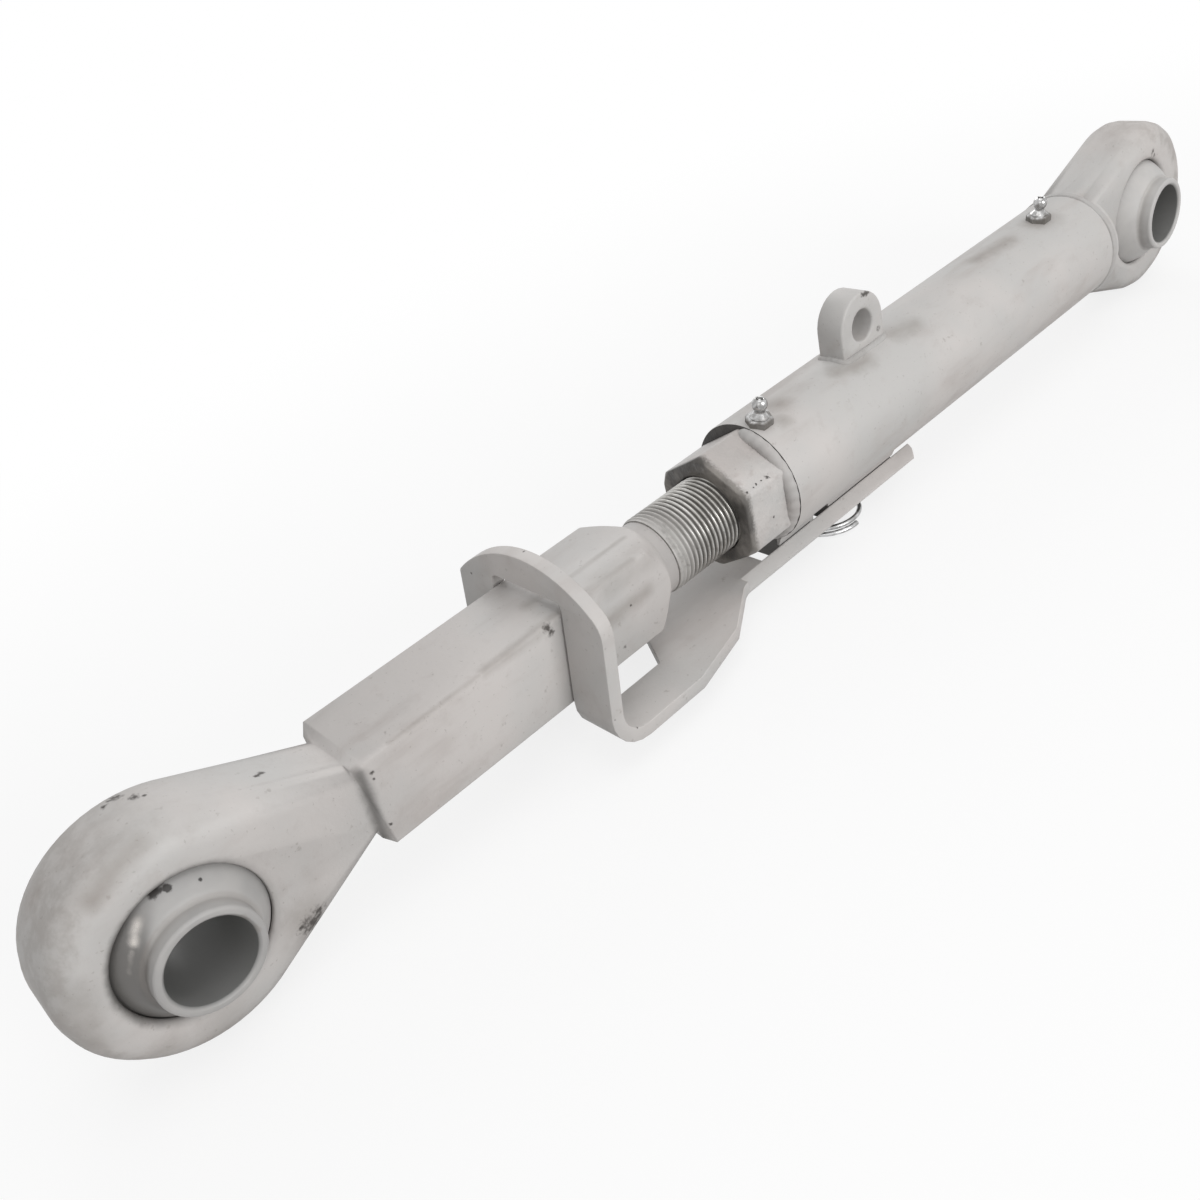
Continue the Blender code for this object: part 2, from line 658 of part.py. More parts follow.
bendX = upright_x(bendLevel - AXIS_HEIGHT) + outerBend / math.cos(lean)
bendCentre = (bendX, bendLevel)
uprightTop = AXIS_HEIGHT + PLATE_TOP_HEIGHT + PLATE_THICKNESS
backX = upright_x(uprightTop - AXIS_HEIGHT) + PLATE_THICKNESS / math.cos(lean)
tailEnd = along(TAIL_END_X)
sheetOutline = [(upright_x(uprightTop - AXIS_HEIGHT), uprightTop)]
sheetOutline += arc(bendCentre, outerBend, 180 - PLATE_LEAN, 270, 6)
sheetOutline += [(tailEnd, floorFoot), (tailEnd, floorTop)]
sheetOutline += arc(bendCentre, PLATE_BEND_RADIUS, 270, 180 - PLATE_LEAN, 5)
sheetOutline += [(backX, uprightTop)]
sheetHalf = PLATE_HALF_WIDTH + CUT_MARGIN
lockPlate = prism("lock_plate", sheetOutline, "Y", -sheetHalf, sheetHalf, PAINTED)

archRise = PLATE_TOP_HEIGHT - PLATE_SHOULDER_HEIGHT
archRadius = (PLATE_HALF_WIDTH**2 + archRise**2) / (2 * archRise)
archCentre = (0, AXIS_HEIGHT + PLATE_TOP_HEIGHT - archRadius)


def shoulder(side, rounding):
    """The arch from its top to one shoulder, and the shoulder's rounding into the side edge."""
    across = PLATE_HALF_WIDTH - rounding
    rise = math.sqrt((archRadius - rounding) ** 2 - across**2)
    slope = math.degrees(math.atan2(rise, across))
    points = arc(archCentre, archRadius, 90, slope, 12)
    points += arc((across, archCentre[1] + rise), rounding, slope, 0, 5)[1:]
    return [(side * y, z) for y, z in points]


nearSide = shoulder(-1, NEAR_SHOULDER_ROUND) + [(-PLATE_HALF_WIDTH, floorFoot - CUT_MARGIN)]
farSide = shoulder(1, FAR_SHOULDER_ROUND)[1:] + [(PLATE_HALF_WIDTH, floorFoot - CUT_MARGIN)]
frontOutline = nearSide + farSide[::-1]
plateFront = prism("plate_front", frontOutline, "X", along(0), tailEnd + CUT_MARGIN)
boolean(lockPlate, plateFront, "INTERSECT")

cornerWay = math.atan2(WAIST_HALF_WIDTH - TAIL_HALF_WIDTH, TAIL_CORNER_X - WAIST_X)
cornerCut = TAIL_FILLET * math.tan(cornerWay / 2)
filletFirst = 270 - math.degrees(cornerWay)
filletCentre = (along(TAIL_CORNER_X) + cornerCut, TAIL_HALF_WIDTH + TAIL_FILLET)
halfPlan = [
    (along(0), sheetHalf),
    (along(WIDE_END_X) - CUT_MARGIN, sheetHalf),
    (along(WIDE_END_X), PLATE_HALF_WIDTH),
    (along(WAIST_X), WAIST_HALF_WIDTH),
    *arc(filletCentre, TAIL_FILLET, filletFirst, 270, 5),
    (tailEnd - TAIL_TIP_CHAMFER, TAIL_HALF_WIDTH),
    (tailEnd, TAIL_HALF_WIDTH - TAIL_TIP_CHAMFER),
    (tailEnd + CUT_MARGIN, TAIL_HALF_WIDTH - TAIL_TIP_CHAMFER),
]
planOutline = halfPlan + [(x, -y) for x, y in reversed(halfPlan)]
platePlan = prism("plate_plan", planOutline, "Z", floorFoot - CUT_MARGIN, uprightTop + CUT_MARGIN)
boolean(lockPlate, platePlan, "INTERSECT")

halfWindow = [
    (along(0), WINDOW_HALF_WIDTH),
    (along(WINDOW_SIDE_END_X), WINDOW_HALF_WIDTH),
    (along(WINDOW_END_X), WINDOW_END_HALF_WIDTH),
]
windowOutline = halfWindow + [(x, -y) for x, y in reversed(halfWindow)]
window = prism("plate_window", windowOutline, "Z", floorFoot - CUT_MARGIN, AXIS_HEIGHT + WINDOW_TOP_HEIGHT)
windowFront = prism(
    "window_front",
    [(WINDOW_HALF_WIDTH + CUT_MARGIN, floorFoot - CUT_MARGIN - CUT_MARGIN)]
    + arc(
        (WINDOW_HALF_WIDTH - WINDOW_CORNER, AXIS_HEIGHT + WINDOW_TOP_HEIGHT - WINDOW_CORNER),
        WINDOW_CORNER,
        0,
        90,
        CORNER_STEPS,
    )
    + arc(
        (WINDOW_CORNER - WINDOW_HALF_WIDTH, AXIS_HEIGHT + WINDOW_TOP_HEIGHT - WINDOW_CORNER),
        WINDOW_CORNER,
        90,
        180,
        CORNER_STEPS,
    )
    + [(-WINDOW_HALF_WIDTH - CUT_MARGIN, floorFoot - CUT_MARGIN - CUT_MARGIN)],
    "X",
    along(0) - CUT_MARGIN,
    tailEnd,
)
boolean(window, windowFront, "INTERSECT")
boolean(lockPlate, window, "DIFFERENCE")
slotOutline = [
    (along(SLOT_START_X), SLOT_HALF_WIDTH),
    (along(SLOT_START_X), -SLOT_HALF_WIDTH),
    (tailEnd + CUT_MARGIN, -SLOT_HALF_WIDTH),
    (tailEnd + CUT_MARGIN, SLOT_HALF_WIDTH),
]
slot = prism("tail_slot", slotOutline, "Z", floorFoot - CUT_MARGIN, floorTop + CUT_MARGIN)
boolean(lockPlate, slot, "DIFFERENCE")
for side in (-1, 1):
    high = floorTop + CUT_MARGIN
    chamferOutline = [
        (side * (TAIL_HALF_WIDTH - TAIL_EDGE_CHAMFER - CUT_MARGIN), high),
        (side * (TAIL_HALF_WIDTH + CUT_MARGIN), high),
        (side * (TAIL_HALF_WIDTH + CUT_MARGIN), floorTop - TAIL_EDGE_CHAMFER - CUT_MARGIN),
    ]
    edge = prism("tail_edge", chamferOutline, "X", along(TAIL_CHAMFER_START_X), tailEnd + CUT_MARGIN)
    boolean(lockPlate, edge, "DIFFERENCE")

# Guide blocks welded under the tube, which the forked tail slides along
blockHalf = SLOT_HALF_WIDTH - FIT_GAP
weldDrop = FLOOR_DROP - FIT_GAP
for name, (start, end) in zip(("front", "rear"), BLOCK_SPANS):
    outline = rounded_rectangle(
        (end - start) / 2, blockHalf, BLOCK_CORNER, (along((start + end) / 2), 0)
    )
    block = prism(
        name + "_guide_block", outline, "Z", AXIS_HEIGHT - BLOCK_DROP, AXIS_HEIGHT - TUBE_HOLE_RADIUS, BLOCK
    )
    boolean(block, tubeClear, "DIFFERENCE")
    sideDrop = math.sqrt(TUBE_RADIUS**2 - (blockHalf + BLOCK_WELD_LEG) ** 2)
    weld = frustum(
        name + "_block_weld",
        ((end - start) / 2 + FIT_GAP, blockHalf + FIT_GAP),
        ((end - start) / 2 + BLOCK_WELD_LEG, blockHalf + BLOCK_WELD_LEG),
        -weldDrop,
        -sideDrop,
        WELDED,
    )
    weld.location = at((start + end) / 2)
    outline = rounded_rectangle(
        (end - start) / 2 + FIT_GAP, blockHalf + FIT_GAP, BLOCK_CORNER, (along((start + end) / 2), 0)
    )
    keepout = prism(
        name + "_block_keepout", outline, "Z", AXIS_HEIGHT - BLOCK_DROP, AXIS_HEIGHT - TUBE_HOLE_RADIUS
    )
    boolean(weld, keepout, "DIFFERENCE")
    boolean(weld, tubeClear, "DIFFERENCE")
    trimOutline = [
        (along(0), -PLATE_HALF_WIDTH),
        (along(TUBE_START) + FIT_GAP, -PLATE_HALF_WIDTH),
        (along(TUBE_START) + FIT_GAP, PLATE_HALF_WIDTH),
        (along(0), PLATE_HALF_WIDTH),
    ]
    if start - BLOCK_WELD_LEG < TUBE_START:
        trim = prism(name + "_weld_trim", trimOutline, "Z", floorFoot, AXIS_HEIGHT)
        boolean(weld, trim, "DIFFERENCE")

# The stud between the blocks, cross-bored for the ring cotter that holds the tail up
studProfile = [
    (STUD_RADIUS - STUD_CHAMFER, -STUD_DROP),
    (STUD_RADIUS, STUD_CHAMFER - STUD_DROP),
    (STUD_RADIUS, -TUBE_HOLE_RADIUS),
]
stud = solid_body("cotter_stud", studProfile, "Z", at(STUD_X), STEEL, LONG_HOLE_STEPS)
boolean(stud, tubeClear, "DIFFERENCE")
ringPlace = at(STUD_X, 0, RING_DROP)
studHole = solid_body(
    "stud_hole",
    [(RING_HOLE_RADIUS, -CUT_MARGIN), (RING_HOLE_RADIUS, CUT_MARGIN)],
    "Y",
    ringPlace,
    steps=SMALL_STEPS,
)
boolean(stud, studHole, "DIFFERENCE")

# The ring cotter: one and a half turns of wire, its two strands through the stud
sagitta = RING_RADIUS - math.sqrt(RING_RADIUS**2 - STUD_RADIUS**2)
ringCentre = RING_RADIUS - (RING_TURN_FALL + sagitta) / 2
path = []
for step in range(RING_STEPS + 1):
    angle = RING_START_ANGLE - RING_TURN_ANGLE * step / RING_STEPS
    turns = (-180 - angle) / 360 - 1 / 2
    reach = RING_RADIUS - RING_TURN_FALL * (turns + 1 / 2)
    level = RING_TURN_RISE * turns
    spot = (reach * math.cos(math.radians(angle)), reach * math.sin(math.radians(angle)))
    path.append((ringCentre + spot[0], spot[1], level))
wire = bpy.data.curves.new("ring_wire", "CURVE")
wire.dimensions = "3D"
wire.bevel_depth = RING_WIRE_RADIUS
wire.bevel_resolution = RING_SIDES // 2 - 2
wire.use_fill_caps = True
spline = wire.splines.new("POLY")
spline.points.add(len(path) - 1)
for point, spot in zip(spline.points, path):
    point.co = (*spot, 1)
wireGuide = bpy.data.objects.new("ring_guide", wire)
cutterCollection.objects.link(wireGuide)
bpy.context.view_layer.update()
graph = bpy.context.evaluated_depsgraph_get()
ringMesh = bpy.data.meshes.new_from_object(wireGuide.evaluated_get(graph))
bpy.data.objects.remove(wireGuide)
ringMesh.name = "ring_cotter"
work = bmesh.new()
work.from_mesh(ringMesh)
bmesh.ops.remove_doubles(work, verts=work.verts, dist=MERGE_DISTANCE)
work.to_mesh(ringMesh)
work.free()
ringMesh.materials.clear()
ring = add("ring_cotter", ringMesh, ZINC)
ring.location = ringPlace
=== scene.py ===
import math

import bmesh
import bpy
import numpy as np
from mathutils import Matrix, Vector
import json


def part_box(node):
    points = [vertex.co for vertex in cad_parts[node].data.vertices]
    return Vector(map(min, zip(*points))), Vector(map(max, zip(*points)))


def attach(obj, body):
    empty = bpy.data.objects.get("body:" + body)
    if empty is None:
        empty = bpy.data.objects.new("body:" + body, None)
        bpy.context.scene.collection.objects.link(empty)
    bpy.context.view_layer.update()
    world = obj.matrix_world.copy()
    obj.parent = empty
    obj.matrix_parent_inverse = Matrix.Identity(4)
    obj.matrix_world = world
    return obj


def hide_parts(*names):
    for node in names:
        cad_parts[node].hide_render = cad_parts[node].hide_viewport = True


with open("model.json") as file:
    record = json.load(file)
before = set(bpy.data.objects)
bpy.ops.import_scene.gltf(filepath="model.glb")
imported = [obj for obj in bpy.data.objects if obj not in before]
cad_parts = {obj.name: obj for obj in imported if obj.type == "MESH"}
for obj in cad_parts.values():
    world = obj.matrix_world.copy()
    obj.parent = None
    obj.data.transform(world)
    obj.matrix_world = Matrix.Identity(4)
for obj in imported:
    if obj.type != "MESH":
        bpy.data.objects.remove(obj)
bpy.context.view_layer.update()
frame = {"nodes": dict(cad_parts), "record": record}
nodes = frame["nodes"]
bodyOf = {node: body for body, members in frame["record"]["behaviour"]["bodies"].items() for node in members}


def middle(node):
    low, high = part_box(node)
    return np.array((low + high) / 2)


# Every place below is counted from the near eye's centre: x along the link, y away from the camera, z up
nearEye = middle("near_ball")
farEye = middle("far_ball") - nearEye


def spans(node):
    # A node's lowest and highest corners, counted from the near eye
    low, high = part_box(node)
    return np.array(low) - nearEye, np.array(high) - nearEye


def makeCamera():
    # Fitted to the photograph: right, down and forward directions, and the place from the near eye
    view = {
        "right": (0.70305497, -0.67522280, -0.22147646),
        "down": (-0.52926047, -0.28963792, -0.79729562),
        "forward": (0.47418899, 0.67783366, -0.56147133),
        "place": (-0.0227518, -0.2678158, 0.2197922),
        "lens": 34.934, "sensor": 36, "nearest": 0.02, "farthest": 20,
    }
    data = bpy.data.cameras.new("camera")
    data.lens = view["lens"]
    data.sensor_width = view["sensor"]
    data.clip_start = view["nearest"]
    data.clip_end = view["farthest"]
    camera = bpy.data.objects.new("camera", data)
    axes = np.array([view["right"], view["down"], view["forward"]]).T * (1, -1, -1)
    turn = Matrix(axes.tolist()).to_4x4()
    camera.matrix_world = Matrix.Translation(Vector(view["place"]) + Vector(nearEye)) @ turn
    bpy.context.scene.collection.objects.link(camera)
    bpy.context.scene.camera = camera


def makeLights():
    # Broad soft panels: name, place, aim, side in metres, watts
    panels = (
        ("overhead", (0.10, -0.25, 1.5), (0, 0, 0), 1.2, 5.9),
        ("front", (0.05, -1.42, 0.45), (0, 0, 0.02), 0.7, 11.6),
        ("left", (-1.2, -0.7, 0.75), (0, 0, 0.02), 0.8, 1.9),
        ("back", (0.7, 1.1, 0.7), (0.1, 0, 0), 0.8, 4.6),
    )
    for name, place, aim, size, watts in panels:
        data = bpy.data.lights.new(name, "AREA")
        data.shape = "SQUARE"
        data.size = size
        data.energy = watts
        lamp = bpy.data.objects.new(name, data)
        lamp.location = place
        lamp.rotation_euler = (Vector(aim) - Vector(place)).to_track_quat("-Z", "Y").to_euler()
        bpy.context.scene.collection.objects.link(lamp)


# Marks on the finishes are written in millimetres
perMetre = 1000


class Value:
    # One socket in a shading's tree; sums, products and powers of values add Math nodes
    def __init__(self, shading, socket):
        self.shading = shading
        self.socket = socket

    def maths(self, operation, *values):
        return self.shading.node("ShaderNodeMath", {"operation": operation}, values)

    def __add__(self, other):
        return self.maths("ADD", self, other)

    def __radd__(self, other):
        return self.maths("ADD", other, self)

    def __sub__(self, other):
        return self.maths("SUBTRACT", self, other)

    def __rsub__(self, other):
        return self.maths("SUBTRACT", other, self)

    def __mul__(self, other):
        return self.maths("MULTIPLY", self, other)

    def __pow__(self, other):
        return self.maths("POWER", self, other)

    def most(self, other):
        return self.maths("MAXIMUM", self, other)

    def least(self, other):
        return self.maths("MINIMUM", self, other)

    def size(self):
        return self.maths("ABSOLUTE", self)

    def swing(self, amount):
        # A noise counted from its middle, times the amount
        return (self - 0.5) * amount

    def step(self, low, high):
        # 0 at low, 1 at high, smooth between; low may be the larger one
        values = {"Value": self, "From Min": low, "From Max": high}
        return self.shading.node("ShaderNodeMapRange", {"interpolation_type": "SMOOTHSTEP"}, values)


class Shading:
    # A node tree, and the one way in which nodes and values are put into it
    def __init__(self, tree):
        self.tree = tree

    def put(self, socket, value):
        if isinstance(value, Value):
            self.tree.links.new(value.socket, socket)
        elif socket.type == "RGBA":
            socket.default_value = (*value, 1)
        else:
            socket.default_value = value

    def node(self, kind, settings, values, output=0):
        made = self.tree.nodes.new(kind)
        for setting, value in settings.items():
            setattr(made, setting, value)
        for key, value in values.items() if isinstance(values, dict) else enumerate(values):
            self.put(made.inputs[key], value)
        return Value(self, made.outputs[output])


class Finish(Shading):
    # A material with a Principled shader, and the nodes that vary over its surface
    def __init__(self, name, **constants):
        self.material = bpy.data.materials.new(name)
        self.material.use_nodes = True
        super().__init__(self.material.node_tree)
        self.shader = self.tree.nodes["Principled BSDF"]
        for socket, value in constants.items():
            self.put(self.shader.inputs[socket.replace("_", " ")], value)
        coordinates = self.node("ShaderNodeTexCoord", {}, {}, "Object")
        fromEye = {"Vector": coordinates, "Location": tuple(-nearEye)}
        self.place = self.node("ShaderNodeMapping", {}, fromEye)
        self.x, self.y, self.z = (
            self.node("ShaderNodeSeparateXYZ", {}, {"Vector": self.place}, axis) for axis in "XYZ"
        )

    def noise(self, scale, detail=2.0, roughness=0.5, stretch=(1, 1, 1), shift=0.0):
        moved = self.node(
            "ShaderNodeMapping", {}, {"Vector": self.place, "Scale": stretch, "Location": (shift, shift, shift)}
        )
        values = {"Vector": moved, "Scale": scale, "Detail": detail, "Roughness": roughness}
        return self.node("ShaderNodeTexNoise", {}, values)

    def mix(self, factor, one, two):
        # Colours only: sockets 6 and 7 are the colour pair and output 2 their mix
        return self.node("ShaderNodeMix", {"data_type": "RGBA"}, {0: factor, 6: one, 7: two}, 2)

    def away(self, start, end=None):
        # Distance from a point, or from the nearest point of a line
        if end is None:
            return self.node("ShaderNodeVectorMath", {"operation": "DISTANCE"}, [self.place, start], "Value")
        along = tuple(two - one for one, two in zip(start, end))
        length = math.dist(start, end)
        unit = tuple(part / length for part in along)
        offset = self.node("ShaderNodeVectorMath", {"operation": "SUBTRACT"}, [self.place, start])
        reach = self.node("ShaderNodeVectorMath", {"operation": "DOT_PRODUCT"}, [offset, unit], "Value")
        reach = reach.most(0.0).least(length)
        foot = self.node("ShaderNodeVectorMath", {"operation": "SCALE"}, {0: unit, "Scale": reach})
        return self.node("ShaderNodeVectorMath", {"operation": "DISTANCE"}, [offset, foot], "Value")

    def marks(self, places, ragged, soft=0.5):
        # Blobs of the given radii about points or lines: ragged breaks up the edge, soft is the share that fades
        found = None
        for radius, *ends in places:
            ends = [tuple(part / perMetre for part in end) for end in ends]
            radius /= perMetre
            near = (self.away(*ends) + ragged * radius).step(radius * (1 + soft / 2), radius * (1 - soft))
            found = near if found is None else found.most(near)
        return found

    def finish(self, colour, roughness, bumps=(), edge=0.0, metal=None):
        # bumps: (height socket, distance) from the coarsest to the finest; edge: rounding seen at sharp corners
        self.put(self.shader.inputs["Base Color"], colour)
        self.put(self.shader.inputs["Roughness"], roughness)
        if metal is not None:
            self.put(self.shader.inputs["Metallic"], metal)
        normal = self.node("ShaderNodeBevel", {"samples": 6}, {"Radius": edge}) if edge else None
        for height, distance in bumps:
            values = {"Height": height, "Distance": distance, "Strength": 1.0}
            if normal is not None:
                values["Normal"] = normal
            normal = self.node("ShaderNodeBump", {}, values)
        if normal is not None:
            self.put(self.shader.inputs["Normal"], normal)
        return self.material


def addPiece(name, mesh, replaced, material):
    piece = bpy.data.objects.new(name, mesh)
    bpy.context.scene.collection.objects.link(piece)
    mesh.materials.clear()
    mesh.materials.append(material)
    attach(piece, bodyOf[replaced])
    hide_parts(replaced)
    return piece


def gridMesh(name, grid, closeAlong=False, sharp=None):
    # grid[i, j] holds points; j runs round and closes, i runs along, with flat caps unless it closes too
    rows, columns = grid.shape[:2]
    index = np.arange(rows * columns).reshape(rows, columns)
    down = np.vstack([index, index[:1]]) if closeAlong else index
    across = np.hstack([down, down[:, :1]])
    faces = np.stack([across[:-1, :-1], across[:-1, 1:], across[1:, 1:], across[1:, :-1]], axis=-1)
    faces = faces.reshape(-1, 4)
    points = grid.reshape(-1, 3)
    quads = points[faces]
    polygons = faces.tolist()
    if not closeAlong:
        polygons += [index[0, ::-1].tolist(), index[-1].tolist()]
    # The sides point outward when their area vectors, weighed by place, add up positive
    places = quads.mean(1) - points.mean(0)
    areas = np.cross(quads[:, 2] - quads[:, 0], quads[:, 3] - quads[:, 1])
    if np.einsum("ij,ij->i", places, areas).sum() < 0:
        polygons = [face[::-1] for face in polygons]
    mesh = bpy.data.meshes.new(name)
    mesh.from_pydata(points.tolist(), [], polygons)
    mesh.shade_smooth()
    if sharp:
        mesh.set_sharp_from_angle(angle=math.radians(sharp))
    return mesh


def turnedGrid(profile, centre, axis, steps):
    # A profile of (radius, level) turned about an axis: centre + axis * level + radius * (cos, sin) across it
    profile = np.array(profile, float)
    axis = np.array(axis, float) / np.linalg.norm(axis)
    slanting = (0.3, 0.5, 0.8)
    aside = np.cross(axis, slanting)
    aside /= np.linalg.norm(aside)
    other = np.cross(axis, aside)
    angle = np.linspace(0, 2 * np.pi, steps, endpoint=False)
    circle = np.outer(np.cos(angle), aside) + np.outer(np.sin(angle), other)
    return np.array(centre) + profile[:, None, 1:] * axis + profile[:, None, :1] * circle[None]


def arcPoints(centre, radius, first, last, count):
    angle = np.radians(np.linspace(first, last, count))
    return np.stack([centre[0] + radius * np.cos(angle), centre[1] + radius * np.sin(angle)], axis=1)


def sweptGrid(path, radii, sides, closed=False):
    # A round section carried along a path: point = path + radius * (cos * side + sin * up), with up kept steady
    ahead = np.roll(path, -1, 0) - np.roll(path, 1, 0)
    if not closed:
        ahead[0] = path[1] - path[0]
        ahead[-1] = path[-1] - path[-2]
    ahead /= np.linalg.norm(ahead, axis=1, keepdims=True)
    side = np.cross(ahead, (0, 0, 1.0))
    side /= np.linalg.norm(side, axis=1, keepdims=True)
    up = np.cross(side, ahead)
    angle = np.linspace(0, 2 * np.pi, sides, endpoint=False)[None, :, None]
    radii = np.broadcast_to(np.asarray(radii, float).reshape(-1, 1, 1), (len(path), 1, 1))
    return path[:, None] + radii * (np.cos(angle) * side[:, None] + np.sin(angle) * up[:, None])


def joinMeshes(name, meshes):
    joined = bmesh.new()
    for mesh in meshes:
        joined.from_mesh(mesh)
    made = bpy.data.meshes.new(name)
    joined.to_mesh(made)
    joined.free()
    return made


def smoothCopy(node, name, material, brokenEdge=0.0):
    # A CAD node's own shape with its loose triangles merged, so that round faces shade smooth
    copying = {"merge": 0.000002, "flat": math.radians(0.6), "sharp": math.radians(28), "segments": 3}
    work = bmesh.new()
    work.from_mesh(nodes[node].data)
    bmesh.ops.remove_doubles(work, verts=work.verts, dist=copying["merge"])
    if brokenEdge:
        bmesh.ops.dissolve_limit(work, angle_limit=copying["flat"], verts=work.verts, edges=work.edges)
    mesh = bpy.data.meshes.new(name)
    work.to_mesh(mesh)
    work.free()
    mesh.shade_smooth()
    piece = addPiece(name, mesh, node, material)
    if brokenEdge:
        bevel = piece.modifiers.new("broken_edges", "BEVEL")
        bevel.width = brokenEdge
        bevel.segments = copying["segments"]
        bevel.limit_method = "ANGLE"
        bevel.angle_limit = copying["sharp"]
        bevel.harden_normals = True
    else:
        mesh.set_sharp_from_angle(angle=copying["sharp"])


paintTones = {
    "light": (0.545, 0.517, 0.500),
    "cool": (0.490, 0.480, 0.468),
    "stain": (0.385, 0.345, 0.325),
    "dustAndShade": (0.255, 0.228, 0.208),
    "bare": (0.062, 0.055, 0.050),
    "primer": (0.15, 0.13, 0.118),
    "greaseAndShade": (0.10, 0.095, 0.09),
    "shade": (0.05, 0.05, 0.052),
}
# Radius and place in millimetres of the knocks and smears that the photograph shows
chips = (
    (1.9, (4.8, 8.2, 36.4)), (0.9, (1.4, 7.0, 36.8)), (1.3, (8.5, 4.1, 36.0)), (0.6, (10.6, 3.0, 35.4)),
    (0.8, (36.4, -2.6, 23.6), (38.6, -1.8, 22.9)), (0.4, (40.5, -1.6, 22.6)), (4.0, (28.4, -14.6, -21.8)),
    (1.6, (31.4, -14.6, -18.6)), (0.9, (25.0, -15.4, -19.5)), (0.7, (61.8, -16.6, 11.4)),
    (0.5, (61.5, -16.6, 9.2)), (1.2, (132.0, -16.6, 13.0)), (1.5, (131.2, -16.2, 15.2)),
    (0.7, (157.6, -16.6, -11.0)), (0.5, (164.5, -16.6, 2.0)), (0.4, (132.9, -35.8, -15.0)),
    (0.45, (140.5, -35.4, -24.1)), (0.4, (143.1, 2.5, 30.9)), (0.4, (136.9, 28.9, 17.2)),
    (1.0, (312.6, -5.9, 44.6), (316.6, -6.0, 44.2)), (1.1, (320.6, -6.6, 28.0)), (1.5, (524.6, -13.6, 25.0)),
    (0.8, (526.6, -13.6, 23.2)), (0.5, (12.0, -16.1, 30.0)), (0.4, (-3.0, -15.8, 31.0)),
    (0.4, (-20.0, -14.0, 24.0)), (0.6, (60.4, -16.4, -8.6)),
)
smears = (
    (1.3, (70, -16.5, 16.5), (104, -16.4, 16.4)), (2.6, (106, -16.2, 16.4), (131, -15.6, 16.2)),
    (1.2, (138, -3.9, 16.5), (178, -3.7, 16.4)), (2.2, (134, -15.0, 16.5), (170, -15.4, 16.2)),
    (3.6, (136, -2.5, 16.6), (147, -2.0, 16.6)), (4.4, (249, -6.5, 24.0)), (4.5, (256, -10.0, 22.2)),
    # The 8 and 9 mm ones low on the near eye's face darken its lower part
    (6.5, (438, -3.5, 24.2), (446, -6.0, 23.8)), (8.0, (26.0, -15.5, -18.0)), (9.0, (-6.0, -15.0, -30.0)),
    (4.5, (292, -7.0, 23.2), (306, -10.5, 21.8)), (7.0, (262, -3.0, 24.2)),
    (5.5, (328, -8.0, 23.0), (338, -10.0, 22.0)),
    (5.0, (396, -1.0, 24.3), (418, -3.0, 24.2)), (3.2, (-14, -14.2, 30.0), (2, -12.6, 34.6)),
    (4.5, (-31.5, -13.0, -6.0), (-28.0, -14.0, 10.0)), (6.0, (-20.0, -14.6, -24.0)),
    (5.0, (158, -14.0, 13.0), (178, -13.0, 12.0)), (4.0, (140, -16.4, 2.0), (172, -17.0, 3.0)),
)
# The same for the swivel ball and for the hexagon, and spots of painted shade in the near ball's socket
bareSteel = (
    (1.5, (-8.4, -15.9, 18.2), (-12.0, -17.4, 14.6)), (0.9, (-13.4, -17.4, 12.6), (-16.2, -17.4, 8.0)),
    (0.7, (-18.2, -17.0, 1.0)), (0.5, (-18.4, -16.9, -4.0)),
)
# Spots of painted shade just inside the top of the near ball's socket
socketShadeSpots = ((2.2, (-1.4, -14.3, 21.6)), (1.2, (1.2, -15.6, 20.8)), (0.6, (8.9, -16.8, 17.6)))
collarWear = ((0.9, (11.5, -25.4, 6.5), (13.2, -25.4, -1.0)),)
hexPits = (
    (0.9, (234.4, -18.5, 12.6)), (0.3, (231.4, -18.4, 12.6)), (0.4, (228.9, -18.4, 12.7)),
    (0.3, (226.9, -18.5, 12.3)), (0.5, (223.4, -18.7, 12.4)), (0.4, (233.0, -20.0, -3.0)),
    (0.3, (236.2, -12.0, 16.6)), (0.3, (229.0, -19.6, 6.0)),
)


def eyeDirtAndShade(paint, colour, fine, mottle, eye):
    centre, face, outward = eye
    dirtAndShade = {
        "mouth": (0.0252, 0.0222), "mouthUneven": 0.0016, "depth": (-0.016, -0.002),
        "allRound": 0.2, "lowLeft": 0.7, "lowLeftSpan": (0.02, -0.02),
        "rim": (0.0300, 0.0350), "rimUneven": 0.006, "outerSlope": 0.5, "outerSpan": (-0.045, 0.004),
        "thin": 0.3, "thick": 0.5, "patches": (0.36, 0.62), "rimShare": 0.6,
    }
    x = paint.x - float(centre[0])
    z = paint.z - float(centre[2])
    # Old grease and painted shade round the mouth of the ball's socket
    mouth = ((x * x + z * z) ** 0.5 + fine.swing(dirtAndShade["mouthUneven"])).step(*dirtAndShade["mouth"])
    greaseAndShade = mouth * (dirtAndShade["allRound"] + (x - z).step(*dirtAndShade["lowLeftSpan"]) * dirtAndShade["lowLeft"])
    inSocket = (paint.y.size() - face).step(*dirtAndShade["depth"])
    colour = paint.mix(greaseAndShade * inSocket, colour, paintTones["greaseAndShade"])
    # Dust from handling and painted shade on the eye's rounded rim, broken up and heavier low on its outer side
    reach = (x * x + z * z) ** 0.5 + mottle.swing(dirtAndShade["rimUneven"])
    side = (x * outward - z * dirtAndShade["outerSlope"]).step(*dirtAndShade["outerSpan"])
    rim = reach.step(*dirtAndShade["rim"]) * side * (dirtAndShade["thin"] + mottle.step(*dirtAndShade["patches"]) * dirtAndShade["thick"])
    return paint.mix(rim * dirtAndShade["rimShare"], colour, paintTones["dustAndShade"])


